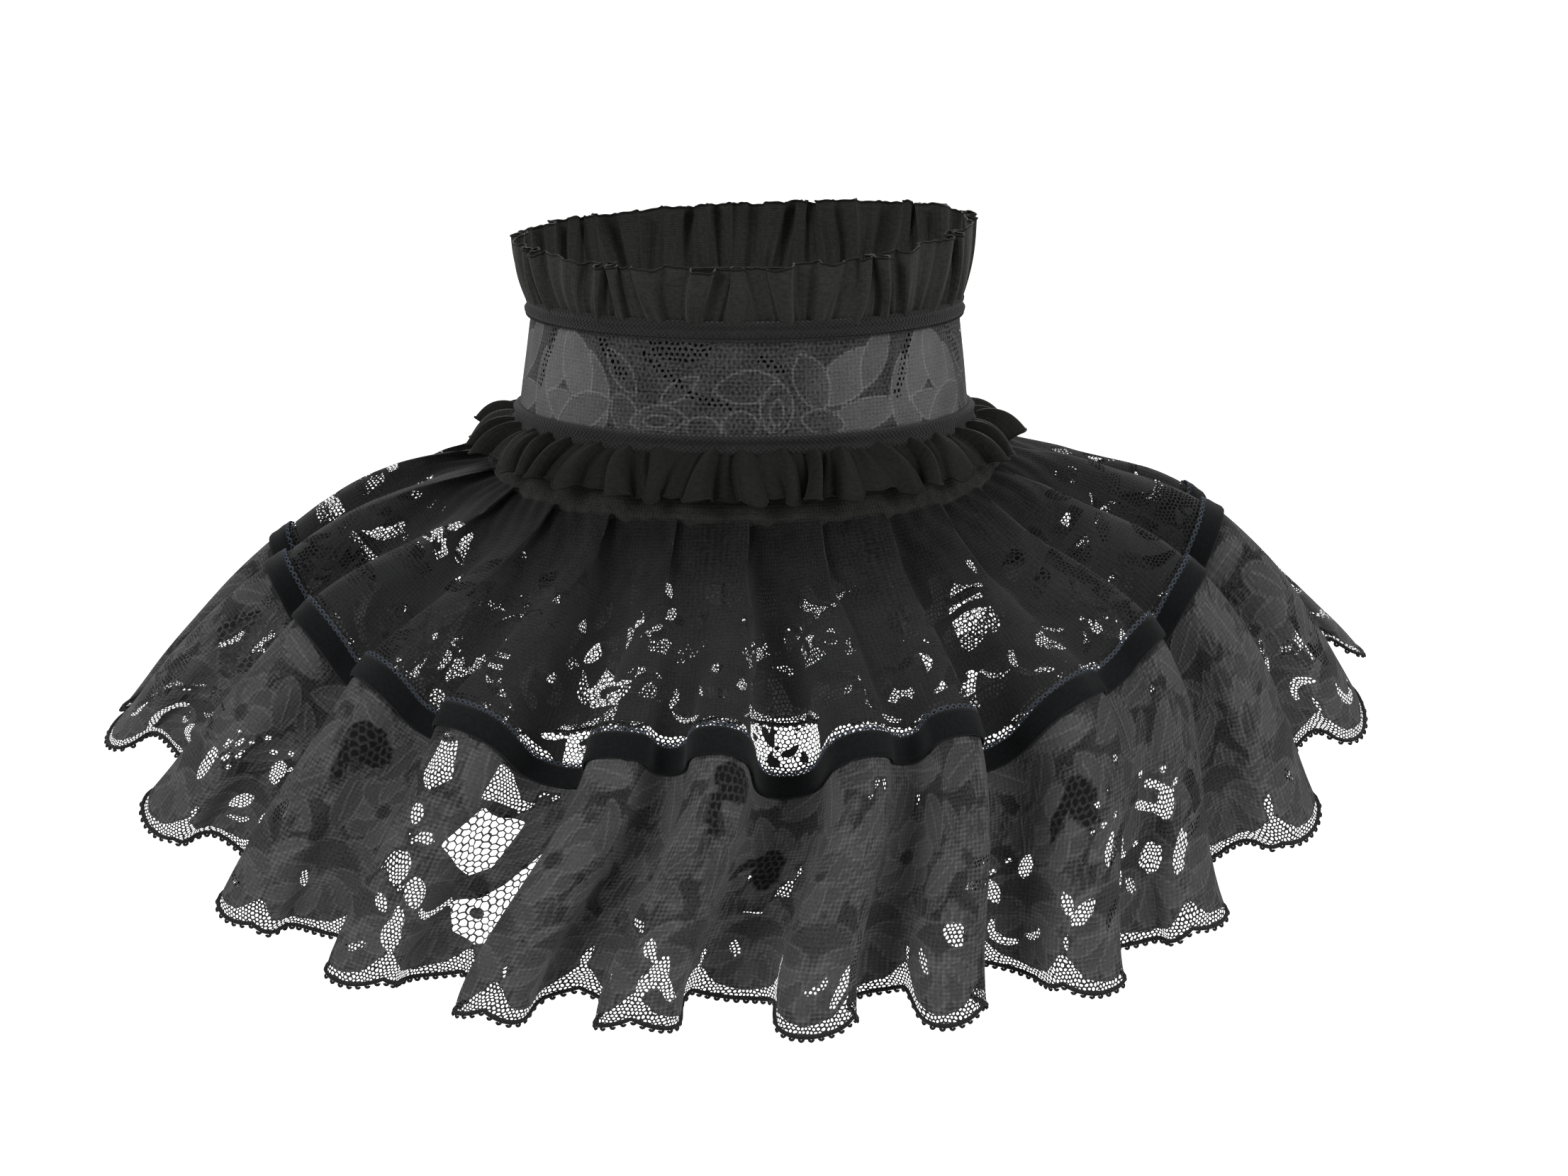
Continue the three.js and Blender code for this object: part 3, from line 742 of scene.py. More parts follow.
def draw_upper_lace(x, y, repeat):
    """Pairs of split leaves, curled flowers and twigs over net, on close-worked cloth."""
    drawing = Drawing(x.size)
    # Painted shade: the lace is darkened towards the pleat seam, for the shade under the yoke and the
    # lower ruffle.
    drawing.tone = mix(-1.5, 0.1, np.clip((y - 4) / 30, 0, 1))
    x, repeat = x / UPPER_STRETCH, repeat / UPPER_STRETCH
    first = UPPER_FIRST_LEAF / UPPER_STRETCH % repeat - repeat
    for k in range(int(x.max() / repeat) + 3):
        middle = first + k * repeat
        lean = -16 if round((middle - UPPER_FIRST_LEAF / UPPER_STRETCH) / repeat) % 2 else 0
        stamp(drawing, x, y, (middle, 41), lean, 20, leaf_pair)
        stamp(drawing, x, y, (middle + 0.08 * lean, 24), lean / 2, 22, arched_branch)
        stamp(drawing, x, y, (middle + 17.5, 46.5), 0, 24, curled_flower)
        stamp(drawing, x, y, (middle + 36.5, 48), 0, 26, twig_net)
        drawing.open(petal(x, y, (middle + 17, 21), 7, 8, 30), VEIL)
        drawing.open(leaf(x, y, (middle + 27, 24), 9, 4, -62), CLEAR)
        drawing.open(petal(x, y, (middle + 37.5, 19), 6, 8, -20), VEIL)
        # Net shows between the worked edge and the ribbon.
        for start, end in ((-16, 7), (10, 23)):
            band = twig(x, y, (middle + start, RIBBON_NET + 0.3), (middle + end, RIBBON_NET - 0.3),
                        RIBBON_NET_DEPTH)
            drawing.open(band, BAND_NET)
    return drawing.fields()


# Leaves of the lower lace in one repeat: across, down from the upper edge, length, width,
# turn in degrees, and how light the cloth is worked.
LOWER_LEAVES = (
    (-33, 8, 20, 9, 35, 0.5), (-22, 12, 17, 8, -70, 0.1), (-14, 5, 18, 7, 10, 0.6),
    (-8, 18, 16, 8, 62, 0.3), (4, 7, 19, 8.5, -25, 0.2), (17, 10, 20, 9, 78, 0.6),
    (27, 5, 16, 7, -8, 0.1), (33, 18, 18, 8, -58, 0.45), (-29, 27, 17, 7.5, 82, 0.2),
    (-2, 31, 15, 7, -40, 0.5), (9, 22, 12, 6, 88, 0.0), (36, 33, 15, 7, 20, 0.3),
    (-17, 40, 15, 7, 25, 0.4), (24, 42, 13, 6.4, 108, 0.15), (-38, 42, 13, 6, -30, 0.5),
    (3, 42, 12, 5.6, 84, 0.3), (12, 36, 11, 5, 20, 0.1), (-8, 45, 10, 5, -50, 0.6),
)
BLOSSOMS = (
    # Across, down, petals, reach and petal width of the round flowers.
    (-18, 26, 8, 10.5, 7), (20, 28, 7, 11.5, 8),
)


def hem_lobe(d, x, y, size, kind):
    """A fan of petals over one scallop. Kind 0 is closed, kind 1 has a slim opening, and kind 2
    has a curl and a leaf of net."""
    disc = petal(x, y, (0, 0), 2 * size, 1.9 * size)
    d.work(disc, -0.1)
    fan(d, x, y, (0, -2), 7, size + 1, 0.44 * size, -22, 202, 0.55)
    if kind == 1:
        d.open(leaf(x, y, (-4, -1), 7, 2.4, 62), CLOSE_NET)
    elif kind == 2:
        d.open(curl(x, y, (0, -1), 5.4, 1.9, 20, 95, 0.5), CLOSE_NET)
        d.open(leaf(x, y, (size + 0.5, -6), 6.5, 3, 62), NET)


def star(d, x, y):
    """A ragged star of net."""
    d.open(patch(x, y, [(-0.6, -6), (1.3, -5.6), (2.4, -0.8), (6, 5), (4.4, 6), (0.6, 1.4),
                        (-2.4, 2.8), (-4, 7.4), (-5.4, 7), (-4.2, 0)]) - 0.2, NET)


def bell_net(d, x, y):
    """Two large openings filled with wide net, a petal between them, and small ones beside."""
    d.open(patch(x, y, [(-9, 1), (-4, -9.5), (7.6, -9), (7, 5), (3, 8), (-2, 5.5)]) - 0.8, WIDE_NET, 1)
    d.open(patch(x, y, [(-5, -21.5), (-1.6, -21), (6, -13.2), (-6, -12.4)]) - 0.4, NET)
    d.open(patch(x, y, [(19, -1), (22.5, 2), (21, 12), (22, 23), (15, 26.5), (8, 24.5), (3.6, 17),
                        (10, 15.4), (14.5, 10)]) - 0.8, WIDE_NET, 1)
    d.close(leaf(x, y, (0, -11), 12, 3.6, 4))
    d.close(petal(x, y, (11, 19), 5, 3, 20))
    d.open(patch(x, y, [(-25, -24), (-17, -22), (-14.5, -14), (-19, -10), (-24, -14)]) - 0.5, NET)
    for at, long, wide, turn in (((-19, -4), 6, 3.6, 60), ((-14, 0.5), 5, 3, 10), ((-17, 8), 8, 4.6, 78),
                                 ((-11, 13), 9, 5, 60), ((-13, 24), 9, 5.5, 70), ((-19, 17), 6, 3, 40)):
        d.open(leaf(x, y, at, long, wide, turn), NET)
    d.work(petal(x, y, (-3, 16), 17, 11, 24), 0.3)
    d.open(curl(x, y, (-3, 14), 5.6, 2, 20, 150, 0.5), NET)
    d.open(petal(x, y, (26, -4), 6, 5, 20), NET)


def slim_sprig(d, x, y):
    """A few slim openings one above the other, and a scatter of eyelets."""
    d.open(twig(x, y, (-5, -3), (4, -4), 2, 1.4), NET)
    d.open(twig(x, y, (-6, 2), (5, 1), 2.2, 1.6), NET)
    d.open(leaf(x, y, (13, 6), 10, 4, 72), NET)
    d.open(leaf(x, y, (-9, 12), 8, 5, 30), NET)
    for k in range(12):
        d.open(petal(x, y, (14 + 2.6 * (k % 3), -5 + 2.3 * (k // 3) + 0.9 * (k % 2)), 1.8, 1.4), NET)


def open_lobes(d, x, y):
    """A loose run of openings, rings and dots towards the hem."""
    for at, long, wide, turn in (((-11, -8), 8, 5, 70), ((0, -9), 6, 4.4, 20), ((9, -3), 9, 4, 60),
                                 ((-14, 5), 8, 4.4, -60), ((18, -9), 7, 4, 100)):
        d.open(leaf(x, y, at, long, wide, turn), NET)
    d.open(curl(x, y, (0, 6), 5.4, 2.4, 170, 290, 0.4), NET)
    d.open(curl(x, y, (14, 7), 4.6, 2.4, 60, 200, 0.4), NET)
    for k in range(10):
        d.open(petal(x, y, (-20 + 4.1 * k, -16 + 3 * (k % 2) + 0.6 * k), 2.4, 1.7), NET)


def eyelet_cloth(d, x, y):
    """A patch of wide net over more cloth, which reads as rows of dark eyelets."""
    for shape in (petal(x, y, (0, 0), 13, 8, 20), curl(x, y, (4, 6), 9, 3, 150, 250, 0.5)):
        d.tone = np.where(shape < 0, EYELET_TONE, d.tone)
        d.coarse = np.where(shape < 1, 1.0, d.coarse)
        d.cord = np.where(shape < 0, FIELD_REACH, d.cord)


# Groups of openings that show in front, by the fold that they lie in and the length down.
# The others follow one another round the rest of the cape.
LOWER_FRONT = (
    (bell_net, 6.8, 86, 0), (open_lobes, 6.8, 112, 0), (star, 11.55, 120, 0),
    (star, 12.6, 120, 8), (slim_sprig, 7.4, 100, 10), (eyelet_cloth, 8.75, 80, 0),
    (open_lobes, 8.1, 112, 0), (bell_net, 9.82, 94, 0), (eyelet_cloth, 11.6, 75, 0),
    (eyelet_cloth, 12.0, 95, 60), (slim_sprig, 13.6, 100, 0), (open_lobes, 13.9, 113, 0),
    (eyelet_cloth, 14.4, 90, 30), (open_lobes, 14.7, 114, 20), (slim_sprig, 15.2, 100, 30),
    (open_lobes, 15.5, 108, 0), (slim_sprig, 16.9, 96, 0), (open_lobes, 17.3, 112, 0),
)
LOWER_RUN = (
    (bell_net, 0.0, 96), (slim_sprig, 1.35, 100), (open_lobes, 1.9, 111), (eyelet_cloth, 1.8, 84),
    (open_lobes, 2.6, 114), (star, 0.9, 120), (star, 2.3, 119),
)
LOWER_RUN_FOLDS = 3.2           # folds that one run of them takes
LOWER_FRONT_FROM, LOWER_FRONT_TO = 6.2, 18.0
LOBE_SIZES = (13.0, 11.0, 12.2)
LOBE_KINDS = (1, 0, 2, 0, 1, 2, 0)
TILE_REACH, LOBE_REACH, MOTIF_REACH = 70, 20, 42

CLOSE_FOLDS = (7.2, 16.6)       # the folds between which the cloth is worked most closely
GROUND_OPENS = 116.0            # length down from which the ground there is open net
OPENS_SOONER = 26.0             # how much higher that begins at the sides and the back
SPREAD = 30.0                   # how far across the cloth that change takes
PATCHES_FROM = 72.0             # length down from which patches of close net break the ground
HEM_NET = 8.0                   # depth of the band of net along the hem


def hem_down(x, settings):
    """How far down the scalloped hem lies at a place across the lower lace."""
    scallop = settings.lower_repeat / MM / settings.scallops
    share = x / scallop - np.floor(x / scallop)
    return HEM_DOWN - settings.hem_cord / MM - settings.scallop_depth / MM * (2 * share - 1) ** 2


def small_leaves():
    """The leaves again, smaller, turned over and darker, to fill the ground between them."""
    smaller = 0.62
    rows = [(smaller * at_x + 3, 46 - smaller * at_y, 0.66 * long, smaller * wide, -turn, tone - 0.35)
            for at_x, at_y, long, wide, turn, tone in LOWER_LEAVES]
    rows += [(row[0] + 26, row[1] - 20, *row[2:]) for row in rows]
    return rows + [(row[0] - 50, row[1] + 4, *row[2:]) for row in rows]


def draw_lower_lace(x, y, place_of, settings):
    """Leaves and round flowers, with openings between them that grow towards the hem."""
    drawing = Drawing(x.size)
    repeat = settings.lower_repeat / MM
    scallop = repeat / settings.scallops
    small = small_leaves()

    def leaf_tile(d, across, down):
        leaves(d, across, down, small)
        for at_x, at_y, petals, reach, wide in BLOSSOMS:
            fan(d, across, down, (at_x, at_y), petals, reach, wide, 15, 375, 0.6)
            d.work(petal(across, down, (at_x, at_y), 5.4, 5), -0.3)
        leaves(d, across, down, LOWER_LEAVES)

    repeats = int(x.max() / repeat) + 2
    for k in range(repeats):
        stamp(drawing, x, y, ((k + 0.5) * repeat, RIBBON_BOTTOM), 0, TILE_REACH, leaf_tile)
    for k in range(repeats * settings.scallops):
        size = LOBE_SIZES[k % len(LOBE_SIZES)]

        def lobe(d, across, down):
            hem_lobe(d, across, down, size, LOBE_KINDS[k % len(LOBE_KINDS)])

        stamp(drawing, x, y, ((k + 0.5) * scallop, HEM_DOWN - 3.4 - size), 0, LOBE_REACH, lobe)
    # The ground opens towards the hem, more in some stretches than in others, and most at the
    # sides and the back.
    front_from, front_to = (place_of(column) for column in CLOSE_FOLDS)
    beyond = np.clip(np.maximum(front_from - x, x - front_to) / SPREAD, 0, 1)
    start = GROUND_OPENS - OPENS_SOONER * beyond + 5 * np.sin(x / 37) + 4 * np.sin(x / 11 + 1)
    drawing.open_between(start - y, 0.35, NET)
    patches = 6 * np.sin(x / 23 + y / 9) + 5 * np.sin(x / 13 - y / 7 + 2) - 5.6 + 4 * beyond
    drawing.open_between(np.maximum(-patches * 0.5, PATCHES_FROM - y), 0.8, CLOSE_NET)
    edge = y - hem_down(x, settings) + 0.4
    lobes = drawing.worked
    drawing.open(np.maximum(np.maximum(HEM_DOWN - HEM_NET - y, 0.3 - lobes), edge - 1), NET)
    for motif, column, down, turn in LOWER_FRONT:
        stamp(drawing, x, y, (place_of(column), down), turn, MOTIF_REACH, motif)
    run = LOWER_FRONT_TO + 0.4
    while run < LOWER_FRONT_FROM + FOLD_COUNT - LOWER_RUN_FOLDS:
        for motif, column, down in LOWER_RUN:
            place = (place_of((run + column) % FOLD_COUNT), down)
            stamp(drawing, x, y, place, 0, MOTIF_REACH, motif)
        run += LOWER_RUN_FOLDS
    drawing.close(-(edge + 0.3))
    return drawing.fields()


NECK_REPEAT = 118.0
NECK_REACH = 66                 # how far from its middle one repeat of the neck lace goes
# Leaves of the neck lace in one repeat, as above. Its eyelets are net with thick strands.
NECK_LEAVES = (
    (-50, 5, 26, 13, 82, 0.5), (-57, -3, 22, 12, 64, 0.7), (-53, 9, 22, 10, -20, 0.4),
    (-40, -3, 16, 6, 50, 0.1), (30, 9, 28, 9, -12, 0.6), (26, -2, 26, 12, -32, 0.7),
    (46, 6, 26, 12, 84, 0.5), (53, -5, 26, 11, 116, 0.7), (35, -7, 20, 8, 118, 0.5),
    (57, 9, 20, 9, 20, 0.5), (-38, 9, 14, 8, 60, 0.2), (-28, 9.5, 17, 8, -6, 0.4),
    (-28, 9.8, 9, 3.4, -4, -0.2), (-15, 11.5, 10, 7, 10, 0.3), (-5, 10.5, 10, 8, 0, 0.3),
    (-3, 0, 19, 9, -6, 0.3), (-22, 1, 13, 5, -34, 0.1), (5, 6, 15, 9, 94, 0.4),
    (5, 7, 8, 3.6, 96, -0.3), (15, -1, 17, 10, 66, 0.4), (18, 10, 13, 7, 12, 0.3),
)


def neck_motif(d, x, y):
    """One repeat of the neck lace: plain leaves, and rows and patches of eyelets."""
    for at_x, at_y, long, wide, turn, tone in NECK_LEAVES:
        d.work(leaf(x, y, (at_x, at_y), long, wide, turn), tone)
    d.open(twig(x, y, (-48, -11.5), (-39.5, -2), 3.2), EYELET)
    d.open(patch(x, y, [(-32, -12.5), (-13, -11.5), (-14, -8), (-22, -6), (-30, -8)]), EYELET)
    d.open(twig(x, y, (-33, -8), (-21, 0), 2.4), EYELET)
    d.open(patch(x, y, [(-21, 0), (-16, 2), (-8, 4), (-6, 6.5), (-14, 5), (-20, 3)]), EYELET)
    d.open(twig(x, y, (1, -7.5), (7, -4.5), 2.6), EYELET)
    d.open(twig(x, y, (48.5, -11), (42.5, 4), 3), EYELET)


def draw_neck_lace(x, y):
    """Outlined leaves and lobes with patches of eyelets. x is from the middle front, y down."""
    drawing = Drawing(x.size)
    for k in range(-2, 3):
        stamp(drawing, x, y, (NECK_REPEAT * k, LACE_TOP / 2), 0, NECK_REACH, neck_motif)
    # Painted shade: the cloth is darkened about the middle of each repeat, one of them at the front, for
    # the shade between the two side lights.
    drawing.tone -= 1.15 * np.exp(-((wrapped(x, NECK_REPEAT) + 8) / 34) ** 2)
    return drawing.fields()


# ---- materials --------------------------------------------------------------------------


def linear(colour):
    """A sRGB hex value as the linear colour that a shader takes."""
    channels = [int(colour[i:i + 2], 16) / 255 for i in (0, 2, 4)]
    return [c / 12.92 if c <= 0.04045 else ((c + 0.055) / 1.055) ** 2.4 for c in channels] + [1.0]


def add(tree, kind, *sources, into=None, **settings):
    """Adds a node with its settings. The sources are values, sockets or nodes for its inputs in
    order, and into gives more of them by the inputs' names."""
    made = tree.nodes.new(kind)
    for setting, value in settings.items():
        setattr(made, setting, value)
    named = [(made.inputs[name], source) for name, source in (into or {}).items()]
    for socket, source in [*zip(made.inputs, sources), *named]:
        if isinstance(source, bpy.types.Node):
            source = source.outputs[0]
        if isinstance(source, bpy.types.NodeSocket):
            tree.links.new(source, socket)
        elif source is not None:
            socket.default_value = source
    return made


def new_material(name, colour, roughness, sheen=0.02):
    """A cloth's material with its shader, whose colour, bump and alpha are linked later."""
    material = bpy.data.materials.new(name)
    material.use_nodes = True
    tree = material.node_tree
    shader = tree.nodes["Principled BSDF"]
    shader.inputs["Base Color"].default_value = linear(colour)
    shader.inputs["Roughness"].default_value = roughness
    shader.inputs["Specular IOR Level"].default_value = 0.04
    shader.inputs["Sheen Weight"].default_value = sheen
    shader.inputs["Sheen Roughness"].default_value = 0.5
    return material, tree, shader


def tinted(tree, shader, colour, shade):
    """Gives a shader its colour times a shade."""
    shaded = add(tree, "ShaderNodeVectorMath", linear(colour)[:3], into={"Scale": shade.outputs[0]},
                 operation="SCALE")
    tree.links.new(shaded.outputs[0], shader.inputs["Base Color"])


def hexagons(tree, place, pitch):
    """How far, in millimetres, a place is from the middle of the nearest strand of a net."""
    wide, high = pitch, pitch * math.sqrt(3)
    reaches = []
    for start in ((0, 0, 0), (wide / 2, high / 2, 0)):
        moved = add(tree, "ShaderNodeVectorMath", place, start, operation="ADD")
        cell = add(tree, "ShaderNodeVectorMath", moved, (wide / 2, high / 2, 1),
                   (-wide / 2, -high / 2, -1), operation="WRAP")
        size = add(tree, "ShaderNodeVectorMath", cell, operation="ABSOLUTE")
        parts = add(tree, "ShaderNodeSeparateXYZ", size)
        half = add(tree, "ShaderNodeMath", parts.outputs["X"], 0.5, operation="MULTIPLY")
        slanted = add(tree, "ShaderNodeMath", parts.outputs["Y"], math.sqrt(3) / 2, half,
                      operation="MULTIPLY_ADD")
        reaches.append(add(tree, "ShaderNodeMath", parts.outputs["X"], slanted, operation="MAXIMUM"))
    nearest = add(tree, "ShaderNodeMath", *reaches, operation="MINIMUM")
    return add(tree, "ShaderNodeMath", pitch / 2, nearest, operation="SUBTRACT")


def lace_material(name, colour, pitch, wide_pitch, light, contrast, pore_depth):
    """Bobbinet of twisted cotton with close-worked motifs: matt, a little lighter where a raised
    thread outlines a leaf, and darker where the ground between the leaves is only net. The light
    is how much the threads stand out, the contrast is between leaves and ground, and the pore
    depth is how dark the ground's small holes are."""
    material, tree, shader = new_material(name, colour, 0.85, 0.04)
    flat = add(tree, "ShaderNodeUVMap", uv_map="Cloth")
    opening, strand, coarse, cord, tone = (
        add(tree, "ShaderNodeAttribute", attribute_name=field).outputs["Fac"]
        for field in ("opening", "strand", "coarse", "cord", "tone"))

    # Nets are never quite even.
    uneven = add(tree, "ShaderNodeTexNoise", flat, into={"Scale": 0.22, "Detail": 2.0})
    centred = add(tree, "ShaderNodeVectorMath", uneven.outputs["Color"], (0.5, 0.5, 0.5),
                  operation="SUBTRACT")
    pushed = add(tree, "ShaderNodeVectorMath", centred, (2.4, 2.4, 0.0), flat, operation="MULTIPLY_ADD")
    fine = hexagons(tree, pushed, pitch)
    away = fine
    if wide_pitch:
        wide = hexagons(tree, pushed, wide_pitch)
        is_wide = add(tree, "ShaderNodeMath", coarse, 0.5, operation="GREATER_THAN")
        away = add(tree, "ShaderNodeMix", is_wide, into={"A": fine, "B": wide}, data_type="FLOAT")
    half = add(tree, "ShaderNodeMath", strand, 0.5, operation="MULTIPLY")
    net = add(tree, "ShaderNodeMath", away, half, operation="LESS_THAN")
    solid = add(tree, "ShaderNodeMath", opening, 0.0, operation="GREATER_THAN")
    alpha = add(tree, "ShaderNodeMath", net, solid, operation="MAXIMUM")
    tree.links.new(alpha.outputs[0], shader.inputs["Alpha"])

    # Raised threads round the leaves, and the finer ones that cross the cloth, which are
    # drawn twice as coarse as real ones so that they show.
    line = add(tree, "ShaderNodeMath", cord, operation="ABSOLUTE")
    line = add(tree, "ShaderNodeMapRange", line, 0.15, 0.6, 1.0, 0.0)
    weave = add(tree, "ShaderNodeVectorMath", flat, (2 * math.pi / 1.3, 2 * math.pi / 1.0, 0),
                operation="MULTIPLY")
    waves = add(tree, "ShaderNodeVectorMath", weave, operation="SINE")
    parts = add(tree, "ShaderNodeSeparateXYZ", waves)
    cross = add(tree, "ShaderNodeMath", parts.outputs["X"], parts.outputs["Y"], operation="ADD")
    fuzz = add(tree, "ShaderNodeTexNoise", flat, into={"Scale": 1.3, "Detail": 4.0, "Roughness": 0.7})
    cloudy = add(tree, "ShaderNodeTexNoise", flat, into={"Scale": 0.12, "Detail": 4.0})
    pores = add(tree, "ShaderNodeMapRange", away, 0.22, 0.58, 0.0, 1.0)
    ground = add(tree, "ShaderNodeMapRange", tone, -0.6, 0.1, pore_depth, 0.18 * pore_depth)
    dark = add(tree, "ShaderNodeMath", pores, ground, operation="MULTIPLY")
    dots = add(tree, "ShaderNodeMath", cross, 0.3, 0.7, operation="MULTIPLY_ADD")
    dotted = add(tree, "ShaderNodeMath", line, dots, operation="MULTIPLY")
    closeness = add(tree, "ShaderNodeMath", tone, -0.45 if pore_depth else -2, operation="MAXIMUM")

    shade = add(tree, "ShaderNodeMath", cross, 0.07, -0.35, operation="MULTIPLY_ADD")
    shade = add(tree, "ShaderNodeMath", closeness, contrast, shade, operation="MULTIPLY_ADD")
    shade = add(tree, "ShaderNodeMath", dotted, light, shade, operation="MULTIPLY_ADD")
    shade = add(tree, "ShaderNodeMath", fuzz, 1.8, shade, operation="MULTIPLY_ADD")
    shade = add(tree, "ShaderNodeMath", cloudy, 0.7, shade, operation="MULTIPLY_ADD")
    shade = add(tree, "ShaderNodeMath", shade, dark, operation="SUBTRACT")
    shade = add(tree, "ShaderNodeMath", shade, 0.12, operation="MAXIMUM")
    tinted(tree, shader, colour, shade)

    height = add(tree, "ShaderNodeMath", cross, 0.12, line, operation="MULTIPLY_ADD")
    height = add(tree, "ShaderNodeMath", fuzz, 1.2, height, operation="MULTIPLY_ADD")
    height = add(tree, "ShaderNodeMath", tone, 0.5, height, operation="MULTIPLY_ADD")
    bump = add(tree, "ShaderNodeBump", into={"Height": height, "Distance": 0.3 * MM, "Strength": 0.8})
    tree.links.new(bump.outputs[0], shader.inputs["Normal"])
    return material


def woven_material(name, colour, weave_mm, depth, roughness, sheen=0.02, slant=0.0):
    """Plain woven cloth, such as chiffon, twill tape or lining: fine threads both ways and a
    slight cloudiness in the dye."""
    material, tree, shader = new_material(name, colour, roughness, sheen)
    flat = add(tree, "ShaderNodeUVMap", uv_map="Cloth")
    turn = add(tree, "ShaderNodeVectorRotate", flat, into={"Angle": math.radians(slant)},
               rotation_type="Z_AXIS")
    weave = add(tree, "ShaderNodeVectorMath", turn, (2 * math.pi / weave_mm,) * 2 + (0,),
                operation="MULTIPLY")
    waves = add(tree, "ShaderNodeVectorMath", weave, operation="SINE")
    parts = add(tree, "ShaderNodeSeparateXYZ", waves)
    cross = add(tree, "ShaderNodeMath", parts.outputs["X"], parts.outputs["Y"], operation="ADD")
    fuzz = add(tree, "ShaderNodeTexNoise", flat, into={"Scale": 1.1, "Detail": 3.0})
    cloudy = add(tree, "ShaderNodeTexNoise", flat, into={"Scale": 0.07, "Detail": 2.0})
    shade = add(tree, "ShaderNodeMath", cross, 0.25 * depth, -0.1, operation="MULTIPLY_ADD")
    shade = add(tree, "ShaderNodeMath", fuzz, 1.5, shade, operation="MULTIPLY_ADD")
    shade = add(tree, "ShaderNodeMath", cloudy, 0.7, shade, operation="MULTIPLY_ADD")
    tinted(tree, shader, colour, shade)
    height = add(tree, "ShaderNodeMath", fuzz, 0.8, cross, operation="MULTIPLY_ADD")
    bump = add(tree, "ShaderNodeBump", into={"Height": height, "Distance": depth * MM, "Strength": 0.5})
    tree.links.new(bump.outputs[0], shader.inputs["Normal"])
    return material


def button_material(colour):
    """Polished dark resin, with the faint mottling of a dyed blank."""
    material, tree, shader = new_material("Dyed resin", colour, 0.3, 0.0)
    shader.inputs["Specular IOR Level"].default_value = 0.5
    place = add(tree, "ShaderNodeTexCoord").outputs["Object"]
    mottle = add(tree, "ShaderNodeTexNoise", place, into={"Scale": 900.0, "Detail": 3.0})
    shade = add(tree, "ShaderNodeMath", mottle, 0.6, 0.7, operation="MULTIPLY_ADD")
    tinted(tree, shader, colour, shade)
    rough = add(tree, "ShaderNodeMapRange", mottle, 0.3, 0.7, 0.22, 0.4)
    tree.links.new(rough.outputs[0], shader.inputs["Roughness"])
    return material


# ---- pieces -----------------------------------------------------------------------------


GATHER_CLOTH = 13.0         # millimetres of the weave in each gather


def ruffle_shape(size):
    """The points of a gathered strip, for shares across it and from its upper to its lower edge.
    The gathers vary in width, depth and lean, and two finer runs of creases cross them."""
    foot_height, foot_out = size["foot_height"], size["foot_out"]

    def shape(across, down):
        edge = 1 - down if size["edge_height"][0] > foot_height else down
        gather = across * size["gathers"]
        turn = 2 * np.pi * gather + 1.2 * np.sin(0.9 * gather) + 0.7 * np.sin(2.3 * gather)
        lean = edge * (0.1 * np.sin(2 * turn) + 0.36 * np.sin(1.9 * gather + 0.6 + 0.7 * edge))
        lean = lean * np.clip(size["gathers"] * np.minimum(across, 1 - across) - 0.2, 0, 1)
        angle = back_to_back((gather + lean) / size["gathers"])
        uneven = 1 + 0.42 * np.sin(2.4 * gather) + 0.2 * np.sin(5.3 * gather + 1)
        crest = size["pinch"] * np.cos(2 * turn) - np.cos(turn)
        wave = crest * mix(size["foot_wave"], size["edge_wave"] * uneven, edge ** 0.8)
        wave = wave + 0.34 * np.sin(2.7 * turn + 1.7 * np.sin(0.8 * gather)) * (1 - 0.3 * edge)
        wave = wave + 0.26 * np.sin(4.3 * turn + 2 * np.cos(1.3 * gather) + 0.8 * edge) * (1 - 0.6 * edge)
        tip_height = around(size["edge_height"], angle)
        tip_height = tip_height + 0.2 * np.sin(1.3 * turn + gather) + 0.3 * np.sin(3.7 * gather)
        tip_height = tip_height + size["droop"] * -crest * edge
        rise, reach = tip_height - foot_height, size["edge_out"] - foot_out
        length = np.hypot(rise, reach)
        puff = size["puff"] * np.sin(np.pi * edge) + wave
        out = foot_out + reach * edge + np.abs(rise) / length * puff
        height = foot_height + rise * edge - reach / length * np.sign(rise) * puff
        points = on_ring(NECK_RADIUS - NECK_TAPER * foot_height + out, angle, height,
                         NECK_LEAN * foot_height)
        flat = np.stack([gather * GATHER_CLOTH, edge * length], axis=-1)
        return points, flat, {}

    return shape


def seam_band(across, down, out):
    """Points of the cape for a section of lengths down and distances out from its middle."""
    return raised(cape_across, across, down + ribbon_sag(across), out)


def frames(across, down, proud):
    """Points of the cape with the ways to the right and up along the cloth."""
    centres = raised(cape_across, across, down, np.full(across.shape, proud))
    rights = cape_across(across + STEP_ACROSS, down) - cape_across(across - STEP_ACROSS, down)
    rights /= np.linalg.norm(rights, axis=1, keepdims=True)
    downs = cape_across(across, down) - cape_across(across, down - 1)
    outs = np.cross(downs, rights)
    outs /= np.linalg.norm(outs, axis=1, keepdims=True)
    return centres, rights, np.cross(outs, rights)


# The stage, in metres.
FLOOR_HEIGHT = -0.42
FLOOR_SIZE = 12.0
FLOOR_COLOUR = "cfcfcf"
LIGHT_SOFTNESS = math.radians(30)
LIGHTS = (
    # Each light's angle from the front, its angle up, and its strength.
    ("Left softbox", -54, 28, 3.0), ("Right softbox", 60, 26, 2.8), ("Back softbox", 176, 34, 2.2),
)
CAMERA_ANGLES = (-4.0, 11.0)                # to the side and down, in degrees
CAMERA_VIEW = 2 * math.atan(1106 / 6500)    # across the whole picture
CAMERA_AWAY, CAMERA_RIGHT, CAMERA_DOWN = 1.3, 0.0112, 0.0529


